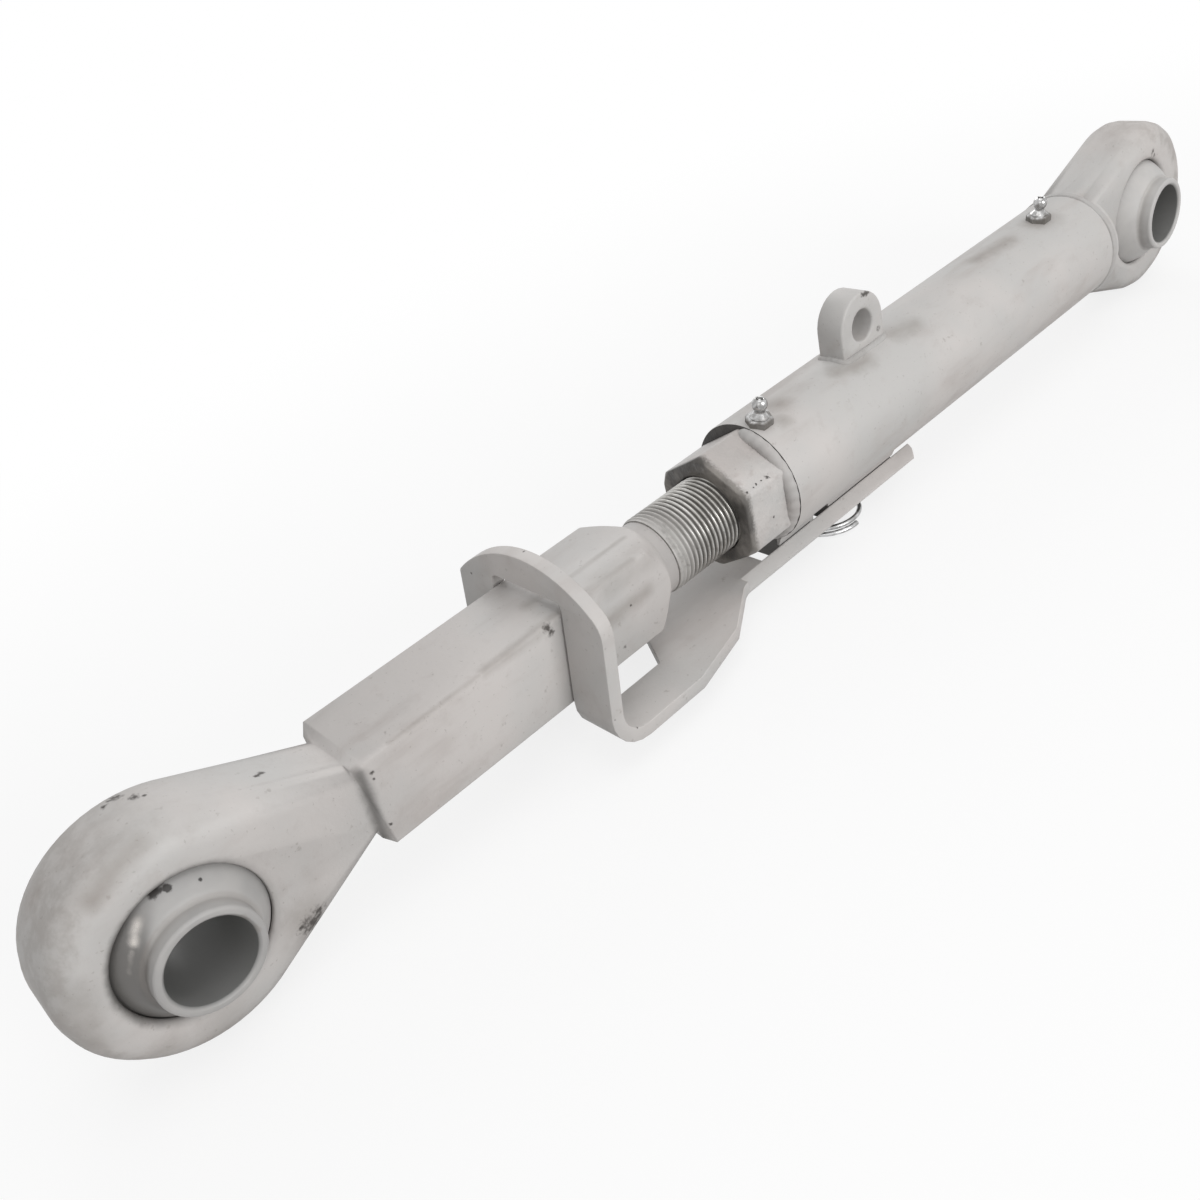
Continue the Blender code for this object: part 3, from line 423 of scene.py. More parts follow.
def makePaint(name, tone=1, pits=0.0001, edge=0.0008, warm=0.5, eyes=(), grooves=()):
    # Old grey paint: light and cool clouds, warm stains, dusty specks, smears, and knocks down to the metal; round the
    # eyes old grease, dust and painted shade, and painted shade in the grooves
    look = {
        "clouds": (0.36, 0.66), "stains": (0.5, 0.76), "mottled": (0.55, 0.75), "mottledShare": 0.22,
        "coarseSpecks": (0.66, 0.78), "coarseShare": 0.42, "fineSpecks": (0.66, 0.77), "fineShare": 0.4,
        "smearEdge": 1.5, "smearSoft": 1.0, "smearThin": 0.25, "smearThick": 0.36, "smearFlow": (0.35, 0.62),
        "grooveEdge": 0.5, "grooveSoft": 1.0, "grooveShare": 0.8,
        "chipGrain": 2.2, "chipFine": 1.4, "chipSoft": 0.9, "chipShare": 0.94,
        "primer": (0.5, 0.7), "primerShare": 0.5,
        "roughness": 0.5, "cloudRoughness": 0.25, "stainRoughness": 0.12, "chipRoughness": 0.1,
        "swell": 0.0005, "ripple": 0.00012, "chipDepth": 0.00012,
    }
    paint = Finish(name, Specular_IOR_Level=0.35)
    clouds = paint.noise(16, 3, 0.6)
    flow = paint.noise(60, 4, 0.62, stretch=(0.28, 1, 1), shift=3.1)
    mottle = paint.noise(140, 4, 0.65, shift=7.7)
    grain = paint.noise(900, 2, 0.5, shift=1.7)
    fine = paint.noise(330, 3, 0.55, shift=5.3)
    colour = paint.mix(clouds.step(*look["clouds"]), paintTones["cool"], paintTones["light"])
    stains = flow.step(*look["stains"]) * warm
    colour = paint.mix(stains, colour, paintTones["stain"])
    colour = paint.mix(mottle.step(*look["mottled"]) * look["mottledShare"], colour, paintTones["stain"])
    coarse = grain.step(*look["coarseSpecks"]) * look["coarseShare"]
    specks = coarse + fine.step(*look["fineSpecks"]) * look["fineShare"]
    colour = paint.mix(specks, colour, paintTones["dustAndShade"])
    smeared = paint.marks(smears, mottle.swing(look["smearEdge"]) + flow.swing(look["smearEdge"]), look["smearSoft"])
    smeared = smeared * (look["smearThin"] + flow.step(*look["smearFlow"]) * look["smearThick"])
    colour = paint.mix(smeared, colour, paintTones["dustAndShade"])
    for eye in eyes:
        colour = eyeDirtAndShade(paint, colour, fine, mottle, eye)
    if grooves:
        # Painted shade along the grooves
        shaded = paint.marks(grooves, fine.swing(look["grooveEdge"]), look["grooveSoft"])
        colour = paint.mix(shaded * look["grooveShare"], colour, paintTones["greaseAndShade"])
    ragged = grain.swing(look["chipGrain"]) + fine.swing(look["chipFine"])
    knocks = paint.marks(chips, ragged, look["chipSoft"])
    primed = grain.step(*look["primer"]) * look["primerShare"]
    bare = paint.mix(primed, paintTones["bare"], paintTones["primer"])
    colour = paint.mix(knocks * look["chipShare"], colour, bare)
    if tone < 1:
        colour = paint.mix(1 - tone, colour, paintTones["shade"])
    roughness = look["roughness"] + clouds.swing(look["cloudRoughness"])
    roughness = roughness + stains * look["stainRoughness"] + knocks * look["chipRoughness"]
    bumps = [(clouds, look["swell"]), (mottle, look["ripple"]), (fine, pits), (knocks, -look["chipDepth"])]
    return paint.finish(colour, roughness, bumps, edge)


def makePlain(name, colour, roughness, metallic=0.0, edge=0.0005, pits=0.00004, spread=0.2):
    look = {"clouds": (0.35, 0.65), "cloudRoughness": 0.3}
    plain = Finish(name, Metallic=metallic)
    clouds = plain.noise(90, 3, 0.6)
    fine = plain.noise(700, 2, 0.5, shift=2.0)
    dark = tuple(part * (1 - spread) for part in colour)
    mixed = plain.mix(clouds.step(*look["clouds"]), dark, colour)
    return plain.finish(mixed, roughness + clouds.swing(look["cloudRoughness"]), [(fine, pits)], edge)


def makeBallFinish(name, centre, isNear):
    # Overpainted steel: bare and bright low on the left of the sphere, dark in the bore, and painted shade with a
    # painted dark reflection inside the socket's mouth
    look = {
        "clouds": (0.35, 0.7), "dark": (0.45, 0.44, 0.43), "light": (0.52, 0.505, 0.49), "darkerTone": 0.24,
        "ragged": 2.6, "steelEdge": 0.35, "steelSoft": 1.0, "steel": (0.36, 0.34, 0.32),
        "socketShade": (0.035, 0.032, 0.03),
        "left": (0.000, -0.014), "inside": (0.0176, 0.0142), "insideUneven": 0.004, "leftReach": 0.0055,
        "ringThin": 0.05, "ringThick": 0.9, "ringShare": 0.86, "ring": (0.085, 0.08, 0.074),
        "seamOuter": (0.0174, 0.0164), "seamInner": (0.0152, 0.0158), "seamFace": (0.0235, 0.021),
        "seamUneven": 0.0008, "seamShare": 0.3,
        "bore": (0.0136, 0.0126), "boreTone": (0.185, 0.185, 0.18), "collarShare": 0.4,
        "roughness": 0.47, "steelRoughness": 0.15, "ringRoughness": 0.12, "cloudRoughness": 0.2,
        "pits": 0.00005, "edge": 0.0006, "metal": 0.9,
    }
    ball = Finish(name)
    x = ball.x - float(centre[0])
    z = ball.z - float(centre[2])
    radius = (x * x + z * z) ** 0.5
    fine = ball.noise(420, 3, 0.55)
    clouds = ball.noise(60, 3, 0.6, shift=2.2)
    ragged = fine.swing(look["ragged"])
    patch = ball.marks(bareSteel, ragged * look["steelEdge"], look["steelSoft"])
    socketShade = ball.marks(socketShadeSpots, ragged)
    # Painted shade and a painted dark reflection on the sphere inside the socket's mouth, heavier on the near ball's
    # left
    left = x.step(*look["left"])
    depth = ball.y.size() + clouds.swing(look["insideUneven"]) - left * look["leftReach"]
    ring = depth.step(*look["inside"]) * (look["ringThin"] + left * look["ringThick"] * isNear)
    # Darker in the cove where the sphere meets each collar
    seam = (radius + fine.swing(look["seamUneven"])).step(*look["seamOuter"]) * radius.step(*look["seamInner"])
    seam = seam * ball.y.size().step(*look["seamFace"])
    bore = radius.step(*look["bore"])
    collar = ball.marks(collarWear, ragged)
    colour = ball.mix(clouds.step(*look["clouds"]), look["dark"], look["light"])
    # The near ball's tone is darker overall
    colour = ball.mix(isNear * look["darkerTone"], colour, paintTones["shade"])
    colour = ball.mix(ring * look["ringShare"], colour, look["ring"])
    colour = ball.mix(seam * look["seamShare"], colour, paintTones["dustAndShade"])
    colour = ball.mix(patch, colour, look["steel"])
    # Painted shade spots at the top of the socket
    colour = ball.mix(socketShade, colour, look["socketShade"])
    colour = ball.mix(bore, colour, look["boreTone"])
    colour = ball.mix(collar * look["collarShare"], colour, paintTones["dustAndShade"])
    roughness = look["roughness"] - patch * look["steelRoughness"] - ring * look["ringRoughness"]
    roughness = roughness + clouds.swing(look["cloudRoughness"])
    return ball.finish(colour, roughness, [(fine, look["pits"])], look["edge"], patch * look["metal"])


def makeHexFinish():
    # Rough forged flats under paint, with an oily dark end round the screw and rows of small pits
    look = {
        "clouds": (0.35, 0.7), "fineEdge": 1.6, "grainEdge": 3.0,
        "oily": (0.0042, 0.0012), "oilyUneven": 0.0009, "oilyShare": 0.92,
        "top": (0.013, 0.019), "topShare": 0.55, "deep": (0.58, 0.74), "deepShare": 0.5,
        "specks": (0.66, 0.76), "speckShare": 0.45, "pitShare": 0.9,
        "oil": (0.045, 0.04, 0.035), "thinOil": (0.19, 0.175, 0.158), "oilClouds": (0.4, 0.62),
        "pit": (0.05, 0.045, 0.04), "roughness": 0.5, "cloudRoughness": 0.3, "oilRoughness": 0.1,
        "forged": 0.0009, "pitted": 0.0003, "edge": 0.0011,
    }
    hexagon = Finish("hexagon_paint", Specular_IOR_Level=0.4)
    start = spans("hex_adapter")[0][0]
    clouds = hexagon.noise(55, 3, 0.6)
    fine = hexagon.noise(420, 3, 0.6, shift=4.0)
    deep = hexagon.noise(150, 3, 0.6, shift=6.0)
    grain = hexagon.noise(1100, 2, 0.5, shift=3.3)
    ragged = fine.swing(look["fineEdge"]) + grain.swing(look["grainEdge"])
    pitRow = hexagon.marks(hexPits, ragged)
    oily = (hexagon.x - float(start) + ragged * look["oilyUneven"]).step(*look["oily"])
    # Darker on the top flats
    top = hexagon.z.step(*look["top"]) * look["topShare"]
    colour = hexagon.mix(clouds.step(*look["clouds"]), paintTones["cool"], paintTones["light"])
    colour = hexagon.mix(top, colour, paintTones["stain"])
    colour = hexagon.mix(deep.step(*look["deep"]) * look["deepShare"], colour, paintTones["stain"])
    colour = hexagon.mix(fine.step(*look["specks"]) * look["speckShare"], colour, paintTones["dustAndShade"])
    oil = hexagon.mix(clouds.step(*look["oilClouds"]), look["oil"], look["thinOil"])
    colour = hexagon.mix(oily * look["oilyShare"], colour, oil)
    colour = hexagon.mix(pitRow * look["pitShare"], colour, look["pit"])
    roughness = look["roughness"] + clouds.swing(look["cloudRoughness"]) - oily * look["oilRoughness"]
    bumps = [(deep, look["forged"]), (fine, look["pitted"]), (pitRow, -look["pitted"])]
    return hexagon.finish(colour, roughness, bumps, look["edge"])


def makeScrewFinish():
    # Bare bright steel near the nut, painted over towards the shank, dark in the thread's roots
    look = {
        "painted": (0.017, 0.004), "paintUneven": 0.012, "paintShare": 0.75, "paint": (0.40, 0.385, 0.37),
        "root": (0.01475, 0.0141), "rootShare": 0.85, "rootTone": (0.085, 0.08, 0.072),
        "clouds": (0.35, 0.65), "dark": (0.33, 0.32, 0.30), "light": (0.55, 0.54, 0.52),
        "stains": (0.56, 0.7), "stainShare": 0.5, "stain": (0.16, 0.15, 0.14),
        "roughness": 0.3, "rootRoughness": 0.25, "paintRoughness": 0.15, "fineRoughness": 0.2,
        "paintMetal": 0.9, "rootMetal": 0.3, "pits": 0.00004,
    }
    screw = Finish("screw_steel")
    low = spans("adjusting_screw")[0][0]
    radius = (screw.y * screw.y + screw.z * screw.z) ** 0.5
    fine = screw.noise(500, 3, 0.6)
    clouds = screw.noise(75, 3, 0.6, shift=1.3)
    stains = screw.noise(160, 3, 0.6, shift=5.0)
    painted = (screw.x - float(low) + clouds.swing(look["paintUneven"])).step(*look["painted"])
    root = radius.step(*look["root"])
    steel = screw.mix(clouds.step(*look["clouds"]), look["dark"], look["light"])
    colour = screw.mix(root * look["rootShare"], steel, look["rootTone"])
    colour = screw.mix(painted * look["paintShare"], colour, look["paint"])
    colour = screw.mix(stains.step(*look["stains"]) * look["stainShare"], colour, look["stain"])
    roughness = look["roughness"] + root * look["rootRoughness"] + painted * look["paintRoughness"]
    roughness = roughness + fine.swing(look["fineRoughness"])
    metal = (1 - painted * look["paintMetal"]) * (1 - root * look["rootMetal"])
    return screw.finish(colour, roughness, [(fine, look["pits"])], 0, metal)


def makeZinc():
    # Bright plating with faint dulling
    look = {
        "clouds": (0.4, 0.66), "dark": (0.38, 0.38, 0.375), "light": (0.62, 0.62, 0.625),
        "roughness": 0.2, "cloudRoughness": 0.22, "pits": 0.00004,
    }
    zinc = Finish("zinc_plate")
    clouds = zinc.noise(260, 3, 0.6)
    colour = zinc.mix(clouds.step(*look["clouds"]), look["dark"], look["light"])
    roughness = look["roughness"] + clouds * look["cloudRoughness"]
    return zinc.finish(colour, roughness, [(clouds, look["pits"])], 0, 1.0)


def makeGreasyZinc(top):
    # Bright plating whose foot is dull with old grease
    look = {
        "clouds": (0.4, 0.66), "dark": (0.34, 0.335, 0.33), "light": (0.60, 0.60, 0.60),
        "footTop": 0.0068, "footEnd": 0.0088, "footUneven": 0.002, "footShare": 0.8, "foot": (0.10, 0.088, 0.075),
        "roughness": 0.15, "footRoughness": 0.35, "cloudRoughness": 0.12, "footMetal": 0.7, "pits": 0.00003,
    }
    zinc = Finish("greased_zinc")
    clouds = zinc.noise(420, 3, 0.6)
    foot = (zinc.z + clouds.swing(look["footUneven"])).step(float(top) - look["footTop"], float(top) - look["footEnd"])
    colour = zinc.mix(clouds.step(*look["clouds"]), look["dark"], look["light"])
    colour = zinc.mix(foot * look["footShare"], colour, look["foot"])
    roughness = look["roughness"] + foot * look["footRoughness"] + clouds * look["cloudRoughness"]
    return zinc.finish(colour, roughness, [(clouds, look["pits"])], 0, 1 - foot * look["footMetal"])


# The eyes' centres, the height of their faces and the side on which each is outermost
paintedEyes = ((np.zeros(3), 0.016, -1.0), (farEye, 0.014, 1.0))
# Painted shade in the hollow where the neck runs into the shank's square start
shankGroove = ((2.3, (59.4, -14.6, 12.4), (57.6, -14.2, -12.5)),)
materials = {
    "paint": makePaint("grey_paint", eyes=paintedEyes, grooves=shankGroove),
    "tube": makePaint("tube_paint", pits=0.00005, edge=0),
    "plate": makePaint("plate_paint", pits=0.00006, edge=0, warm=0.3),
    # The guide blocks are painted near black: painted shade under the tube
    "blockShade": makePlain("block_paint", (0.16, 0.155, 0.15), 0.6, edge=0.0008),
    "weld": makePaint("weld_paint", tone=0.84, pits=0.00016, edge=0),
    "endCut": makePlain("bare_cut", (0.075, 0.07, 0.066), 0.55, 0.2, edge=0.0, pits=0.0003, spread=0.5),
    "nearBall": makeBallFinish("near_ball_paint", (0, 0, 0), 1.0),
    "farBall": makeBallFinish("far_ball_paint", farEye, 0.0),
    "hexagon": makeHexFinish(),
    "screw": makeScrewFinish(),
    "zinc": makeZinc(),
    "steel": makePlain("stud_steel", (0.4, 0.39, 0.38), 0.4, 0.9),
}
print("finishes:", len(materials))


# CAD shapes that only need smooth shading and broken edges
smoothCopy("near_eye_shank", "near_eye_and_shank", materials["paint"])
smoothCopy("far_eye", "far_eye_forging", materials["paint"])
smoothCopy("lock_plate", "lock_plate_sheet", materials["plate"], 0.0007)
smoothCopy("hex_adapter", "hexagon_adapter", materials["hexagon"], 0.0008)
smoothCopy("lug", "stowage_lug", materials["paint"], 0.0009)
smoothCopy("cotter_stud", "cotter_pin_stud", materials["steel"])
# These four show their CAD shape as it is
for node, finish in (
    ("front_guide_block", "blockShade"), ("rear_guide_block", "blockShade"),
    ("front_block_weld", "weld"), ("rear_block_weld", "weld"),
):
    nodes[node].data.materials.clear()
    nodes[node].data.materials.append(materials[finish])
print("smooth copies made")


def makeTube():
    # A hollow round bar: its outer and inner sides turned about the link's axis
    tube = {"wall": 0.005, "edge": 0.0005, "bulge": 0.3, "cutDepth": 0.2, "sharp": 30, "steps": 160}
    low, high = spans("tube")
    radius = high[2]
    hole = radius - tube["wall"]
    edge = tube["edge"]
    bulge = edge * tube["bulge"]
    profile = [
        (hole, low[0]), (radius - edge, low[0]), (radius - bulge, low[0] + bulge), (radius, low[0] + edge),
        (radius, high[0]), (hole, high[0]),
    ]
    grid = turnedGrid(profile, nearEye, (1, 0, 0), tube["steps"])
    mesh = gridMesh("tube_barrel", grid, closeAlong=True, sharp=tube["sharp"])
    addPiece("tube_barrel", mesh, "tube", materials["tube"])
    # The cut end under the hexagon is bare
    mesh.materials.append(materials["endCut"])
    centres = np.zeros(len(mesh.polygons) * 3)
    mesh.polygons.foreach_get("center", centres)
    isEnd = centres.reshape(-1, 3)[:, 0] < nearEye[0] + low[0] + edge * tube["cutDepth"]
    mesh.polygons.foreach_set("material_index", isEnd.astype(np.int32))


makeTube()


def makeBall(name, node, centre, material):
    # A sphere between two collars, bored through: the profile is turned about the cross axis
    ball = {
        "sphere": 0.026, "collar": 0.0157, "cove": 0.0013, "coveArc": (180, 115), "chamfer": 0.0011,
        "bore": 0.0128, "boreChamfer": 0.0008, "cornerSteps": 5, "sideSteps": 40, "steps": 128, "sharp": 32,
    }
    half = spans(node)[1][1]
    reach, cove, chamfer = ball["collar"], ball["cove"], ball["chamfer"]
    bore, broken = ball["bore"], ball["boreChamfer"]
    start = math.degrees(math.acos((reach + cove) / ball["sphere"]))
    root = ball["sphere"] * math.sin(math.radians(start))
    hollow = arcPoints((reach + cove, -root - cove), cove, *ball["coveArc"], ball["cornerSteps"])
    nose = arcPoints((reach - chamfer, chamfer - half), chamfer, -90, 0, ball["cornerSteps"])
    side = arcPoints((0, 0), ball["sphere"], -start, start, ball["sideSteps"])
    near = np.vstack([nose, hollow])
    outer = np.vstack([near, side, (near * (1, -1))[::-1]])
    inner = [(bore + broken, half), (bore, half - broken), (bore, -half + broken), (bore + broken, -half)]
    grid = turnedGrid(np.vstack([outer, inner]), nearEye + centre, (0, 1, 0), ball["steps"])
    addPiece(name, gridMesh(name, grid, closeAlong=True, sharp=ball["sharp"]), node, material)


makeBall("near_swivel_ball", "near_ball", np.zeros(3), materials["nearBall"])
makeBall("far_swivel_ball", "far_ball", farEye, materials["farBall"])
print("tube and balls made")


def makeScrew():
    # Radius at (angle, x) = root + depth * crest((x / pitch - angle / turn)), a rounded triangular thread
    thread = {
        "pitch": 0.0021, "depth": 0.00125, "samples": 10, "steps": 72, "lead": 0.0012, "sharp": 60,
        "steepness": 1.22, "rootWidth": 0.1, "plain": 0.001, "runOut": 0.007, "shallow": 0.35, "deepening": 0.65,
    }
    low, high = spans("adjusting_screw")
    crest = high[2]
    count = int((high[0] - low[0]) / thread["pitch"] * thread["samples"])
    x = np.linspace(low[0], high[0], count)
    angle = np.linspace(0, 2 * np.pi, thread["steps"], endpoint=False)
    phase = x[:, None] / thread["pitch"] - angle[None] / (2 * np.pi)
    wave = np.clip((0.5 + 0.5 * np.cos(2 * np.pi * phase)) * thread["steepness"] - thread["rootWidth"], 0, 1)
    # The thread fades at both ends and starts shallow at the shank
    fade = np.clip(np.minimum(x - low[0], high[0] - x) / thread["lead"], 0, 1)[:, None]
    runOut = np.clip((x - low[0] - thread["plain"]) / thread["runOut"], 0, 1)[:, None]
    depth = thread["depth"] * (thread["shallow"] + thread["deepening"] * runOut)
    radius = crest - depth * (1 - wave * fade)
    along = np.broadcast_to(x[:, None], radius.shape)
    points = np.stack([along, radius * np.cos(angle), radius * np.sin(angle)], axis=-1)
    mesh = gridMesh("threaded_screw", points + nearEye, sharp=thread["sharp"])
    addPiece("threaded_screw", mesh, "adjusting_screw", materials["screw"])


makeScrew()


def beadRadii(count, radius, ripples, seed):
    # A bead's radius along its run: even ripples and a slow wander
    bead = {"ripple": 0.028, "wander": 0.03, "least": 0.3, "waves": (3, 5, 8)}
    along = np.linspace(0, 1, count, endpoint=False)
    chance = np.random.default_rng(seed)
    wander = sum(
        chance.uniform(bead["least"], 1) * np.sin(2 * np.pi * (turns * along + chance.uniform()))
        for turns in bead["waves"]
    )
    return radius * (1 + bead["ripple"] * np.cos(2 * np.pi * ripples * along) + bead["wander"] * wander)


def makeEyeWeld():
    # A low bead turned round the joint between the tube and the eye's root
    weld = {
        "inset": 0.0014, "radius": 0.0019, "ripples": 46, "seed": 4, "count": 460,
        "sway": 0.0003, "swayWaves": 5, "sides": 20,
    }
    low, high = spans("far_eye_weld")
    angle = np.linspace(0, 2 * np.pi, weld["count"], endpoint=False)
    reach = high[2] - weld["inset"]
    x = np.full_like(angle, (low[0] + high[0]) / 2) + weld["sway"] * np.sin(weld["swayWaves"] * angle)
    section = np.linspace(0, 2 * np.pi, weld["sides"], endpoint=False)
    radii = beadRadii(weld["count"], weld["radius"], weld["ripples"], weld["seed"])[:, None]
    out = np.minimum(reach + radii * np.cos(section), high[2])
    along = x[:, None] + radii * np.sin(section)
    points = np.stack([along, out * np.cos(angle)[:, None], out * np.sin(angle)[:, None]], axis=-1)
    mesh = gridMesh("eye_weld_bead", points + nearEye, closeAlong=True)
    addPiece("eye_weld_bead", mesh, "far_eye_weld", materials["weld"])


def makeAdapterWeld():
    # A thick bead laid round the near half of the joint between hexagon and tube, thin at both its ends
    weld = {
        "inset": 0.0033, "back": 0.0004, "radius": 0.0029, "ripples": 17, "seed": 12, "count": 260,
        "from": 82, "to": 262, "taper": 4.0, "thin": 0.25, "sides": 18,
    }
    low, high = spans("tube")
    angle = np.radians(np.linspace(weld["from"], weld["to"], weld["count"]))
    reach = high[2] - weld["inset"]
    x = np.full_like(angle, low[0] - weld["back"])
    outward = np.stack([0 * x, np.cos(angle), np.sin(angle)], axis=1)
    path = np.stack([x, 0 * x, 0 * x], axis=1) + reach * outward + nearEye
    ends = np.clip(np.sin(np.linspace(0, np.pi, weld["count"])) * weld["taper"], weld["thin"], 1)
    radii = beadRadii(weld["count"], weld["radius"], weld["ripples"], weld["seed"]) * ends
    section = np.linspace(0, 2 * np.pi, weld["sides"], endpoint=False)[None, :, None]
    ahead = np.array((1.0, 0, 0))
    grid = path[:, None] + radii[:, None, None] * (np.cos(section) * outward[:, None] + np.sin(section) * ahead)
    addPiece("adapter_weld_bead", gridMesh("adapter_weld_bead", grid), "adapter_weld", materials["weld"])


def makeLugWeld():
    # A bead round the lug's foot: the path is a rounded oblong laid on the tube's back
    weld = {
        "radius": 0.0017, "aside": 0.0002, "sunk": 0.0005, "ripples": 31, "seed": 9, "count": 420,
        "squareness": 7.0, "sides": 16,
    }
    low, high = spans("lug")
    tubeRadius = spans("tube")[1][2]
    centre = (low[0] + high[0]) / 2
    long = (high[0] - low[0]) / 2 + weld["aside"]
    wide = high[1] + weld["aside"]
    power = weld["squareness"]
    angle = np.linspace(0, 2 * np.pi, weld["count"], endpoint=False)
    cos, sin = np.cos(angle), np.sin(angle)
    reach = (np.abs(cos / long) ** power + np.abs(sin / wide) ** power) ** (-1 / power)
    y = reach * sin
    z = np.sqrt(tubeRadius**2 - y**2) - weld["sunk"]
    path = np.stack([centre + reach * cos, y, z], axis=1) + nearEye
    radii = beadRadii(weld["count"], weld["radius"], weld["ripples"], weld["seed"])
    grid = sweptGrid(path, radii, weld["sides"], closed=True)
    addPiece("lug_weld_bead", gridMesh("lug_weld_bead", grid, closeAlong=True), "lug_weld", materials["weld"])


makeEyeWeld()
makeAdapterWeld()
makeLugWeld()
print("screw and welds made")


def makeFitting(name, node, lean):
    # Hexagon foot, cone, waist and round head, turned about the leaning axis, with the check ball in its mouth
    fitting = {
        "seatGap": 0.0003, "topGap": 0.0001, "hexRound": 0.0045, "hexHeight": 0.0024, "hexSunk": 0.0008,
        "hexBreak": 0.0007, "hexTopShare": 0.9, "waist": 0.0020, "head": 0.0029, "mouth": 0.0012,
        "headDrop": 0.88, "headArc": (-44, 52), "ball": 0.0010, "ballDrop": 0.0014, "ballArc": (-88, 88),
        # Radius and level over the hexagon; level of the waist in head radii under the top; share of the
        # mouth's radius and level under the top
        "cone": ((0.0037, -0.0003), (0.0037, 0.0002), (0.0033, 0.0006)),
        "waistLevels": (1.9, 1.7),
        "mouthRim": ((1.25, 0.0001), (1, 0.0003), (0.9, 0.0012)),
        "steps": 40, "headSteps": 9, "ballSteps": (20, 10), "bodySharp": 40, "hexSharp": 20,
    }
    low, high = spans(node)
    tilt = math.radians(lean)
    axis = np.array((0, -math.sin(tilt), math.cos(tilt)))
    seat = spans("tube")[1][2] + fitting["seatGap"]
    top = high[2] / math.cos(tilt) - fitting["topGap"]
    base = nearEye + np.array(((low[0] + high[0]) / 2, 0, 0))
    corner = fitting["hexRound"] * 2 / math.sqrt(3)
    hexTop = seat + fitting["hexHeight"]
    turn = np.arange(6) * np.pi / 3
    aside = np.array((1.0, 0, 0))
    circle = np.outer(np.cos(turn), aside) + np.outer(np.sin(turn), np.cross(axis, aside))
    rings = (
        (corner, seat - fitting["hexSunk"]), (corner, hexTop - fitting["hexBreak"]),
        (corner * fitting["hexTopShare"], hexTop),
    )
    hexGrid = np.stack([base + axis * level + radius * circle for radius, level in rings])
    headCentre = (0, top - fitting["headDrop"] * fitting["head"])
    profile = np.vstack([
        [(radius, hexTop + level) for radius, level in fitting["cone"]],
        [(fitting["waist"], top - drop * fitting["head"]) for drop in fitting["waistLevels"]],
        arcPoints(headCentre, fitting["head"], *fitting["headArc"], fitting["headSteps"]),
        [(fitting["mouth"] * share, top - drop) for share, drop in fitting["mouthRim"]],
    ])
    body = gridMesh(name, turnedGrid(profile, base, axis, fitting["steps"]), sharp=fitting["bodySharp"])
    around, over = fitting["ballSteps"]
    ballProfile = arcPoints((0, top - fitting["ballDrop"]), fitting["ball"], *fitting["ballArc"], over)
    ball = gridMesh(name, turnedGrid(ballProfile, base, axis, around))
    mesh = joinMeshes(name, [gridMesh(name, hexGrid, sharp=fitting["hexSharp"]), body, ball])
    addPiece(name, mesh, node, makeGreasyZinc(high[2]))


makeFitting("front_grease_nipple", "front_grease_fitting", 11.5)
makeFitting("rear_grease_nipple", "rear_grease_fitting", 8.0)


def makeRing():
    # One and a half turns of wire: reach and level change evenly with the angle
    ring = {
        "radius": 0.0145, "wire": 0.001, "fall": 0.0009, "rise": 0.0022,
        "start": -85.0, "turned": 560.0, "count": 220, "sides": 16, "sharp": 60,
    }
    low, high = spans("ring_cotter")
    studLow, studHigh = spans("cotter_stud")
    stud = middle("cotter_stud") - nearEye
    studRadius = (studHigh[0] - studLow[0]) / 2
    sagitta = ring["radius"] - math.sqrt(ring["radius"] ** 2 - studRadius**2)
    centre = ring["radius"] - (ring["fall"] + sagitta) / 2
    angle = ring["start"] - ring["turned"] * np.linspace(0, 1, ring["count"])
    turns = (-180 - angle) / 360 - 0.5
    reach = ring["radius"] - ring["fall"] * (turns + 0.5)
    turn = np.radians(angle)
    level = (low[2] + high[2]) / 2
    heights = ring["rise"] * turns
    heights += level - (heights.max() + heights.min()) / 2
    path = np.stack([stud[0] + centre + reach * np.cos(turn), reach * np.sin(turn), heights], axis=1) + nearEye
    mesh = gridMesh("cotter_ring", sweptGrid(path, ring["wire"], ring["sides"]), sharp=ring["sharp"])
    addPiece("cotter_ring", mesh, "ring_cotter", materials["zinc"])


makeRing()
print("fittings and ring made")


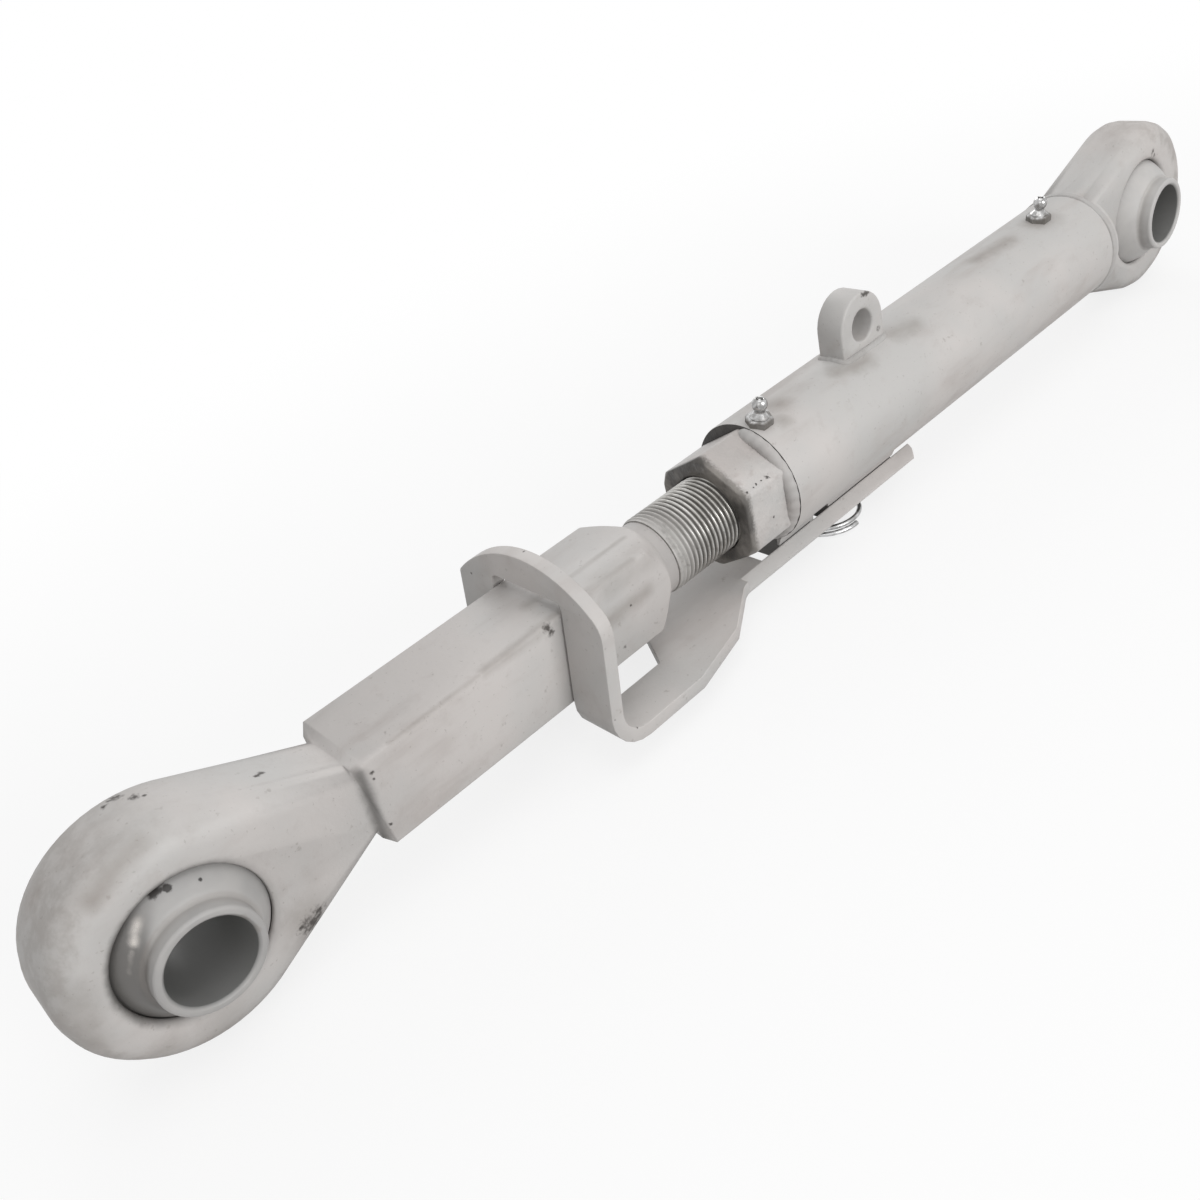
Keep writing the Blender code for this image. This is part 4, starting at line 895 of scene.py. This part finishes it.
def makeStage():
    # A wide pale floor: cameras and reflections see it white, save near the object, where it takes a shadow
    stage = {
        "half": 30.0, "colour": (0.87, 0.87, 0.87), "bounce": (0.42, 0.415, 0.41),
        "nearWhite": 0.8, "near": 0.10, "far": 0.5,
    }
    half = stage["half"]
    corners = [(-half, -half, 0), (half, -half, 0), (half, half, 0), (-half, half, 0)]
    mesh = bpy.data.meshes.new("floor")
    mesh.from_pydata(corners, [], [(0, 1, 2, 3)])
    floor = bpy.data.objects.new("floor", mesh)
    bpy.context.scene.collection.objects.link(floor)
    material = Finish("pale_floor", Roughness=1.0, Specular_IOR_Level=0.0)
    ends = [tuple(spans(node)[0] * (1, 0, 0)) for node in ("near_eye_shank", "far_ball")]
    off = material.away(*ends).step(stage["near"], stage["far"])
    rays = material.node("ShaderNodeLightPath", {}, {}, "Is Camera Ray")
    glossy = material.node("ShaderNodeLightPath", {}, {}, "Is Glossy Ray")
    material.put(material.shader.inputs["Base Color"], material.mix(rays, stage["bounce"], stage["colour"]))
    share = rays.most(glossy) * (off * (1 - stage["nearWhite"]) + stage["nearWhite"])
    white = material.node("ShaderNodeEmission", {}, {"Color": (1, 1, 1), "Strength": 1.0})
    lit = Value(material, material.shader.outputs[0])
    pale = material.node("ShaderNodeMixShader", {}, {0: share, 1: lit, 2: white})
    # Looked at from below it is clear, so that the underside can be seen
    below = material.node("ShaderNodeNewGeometry", {}, {}, "Backfacing")
    clear = material.node("ShaderNodeBsdfTransparent", {}, {})
    seen = material.node("ShaderNodeMixShader", {}, {0: below, 1: pale, 2: clear})
    material.put(material.tree.nodes["Material Output"].inputs[0], seen)
    mesh.materials.append(material.material)


def makeWorld():
    # Plain light for the object, and white for what the camera or a reflection sees past the floor
    strengths = {"light": 0.48, "seen": 1.0}
    scene = bpy.context.scene
    scene.view_settings.view_transform = "Standard"
    world = bpy.data.worlds.new("studio")
    world.use_nodes = True
    scene.world = world
    sky = Shading(world.node_tree)
    background = sky.tree.nodes["Background"].inputs
    sky.put(background["Color"], (1, 1, 1))
    camera = sky.node("ShaderNodeLightPath", {}, {}, "Is Camera Ray")
    glossy = sky.node("ShaderNodeLightPath", {}, {}, "Is Glossy Ray")
    levels = {"Value": camera.most(glossy), "To Min": strengths["light"], "To Max": strengths["seen"]}
    sky.put(background["Strength"], sky.node("ShaderNodeMapRange", {}, levels))


makeCamera()
makeLights()
makeStage()
makeWorld()
print("stage, lights and camera made")
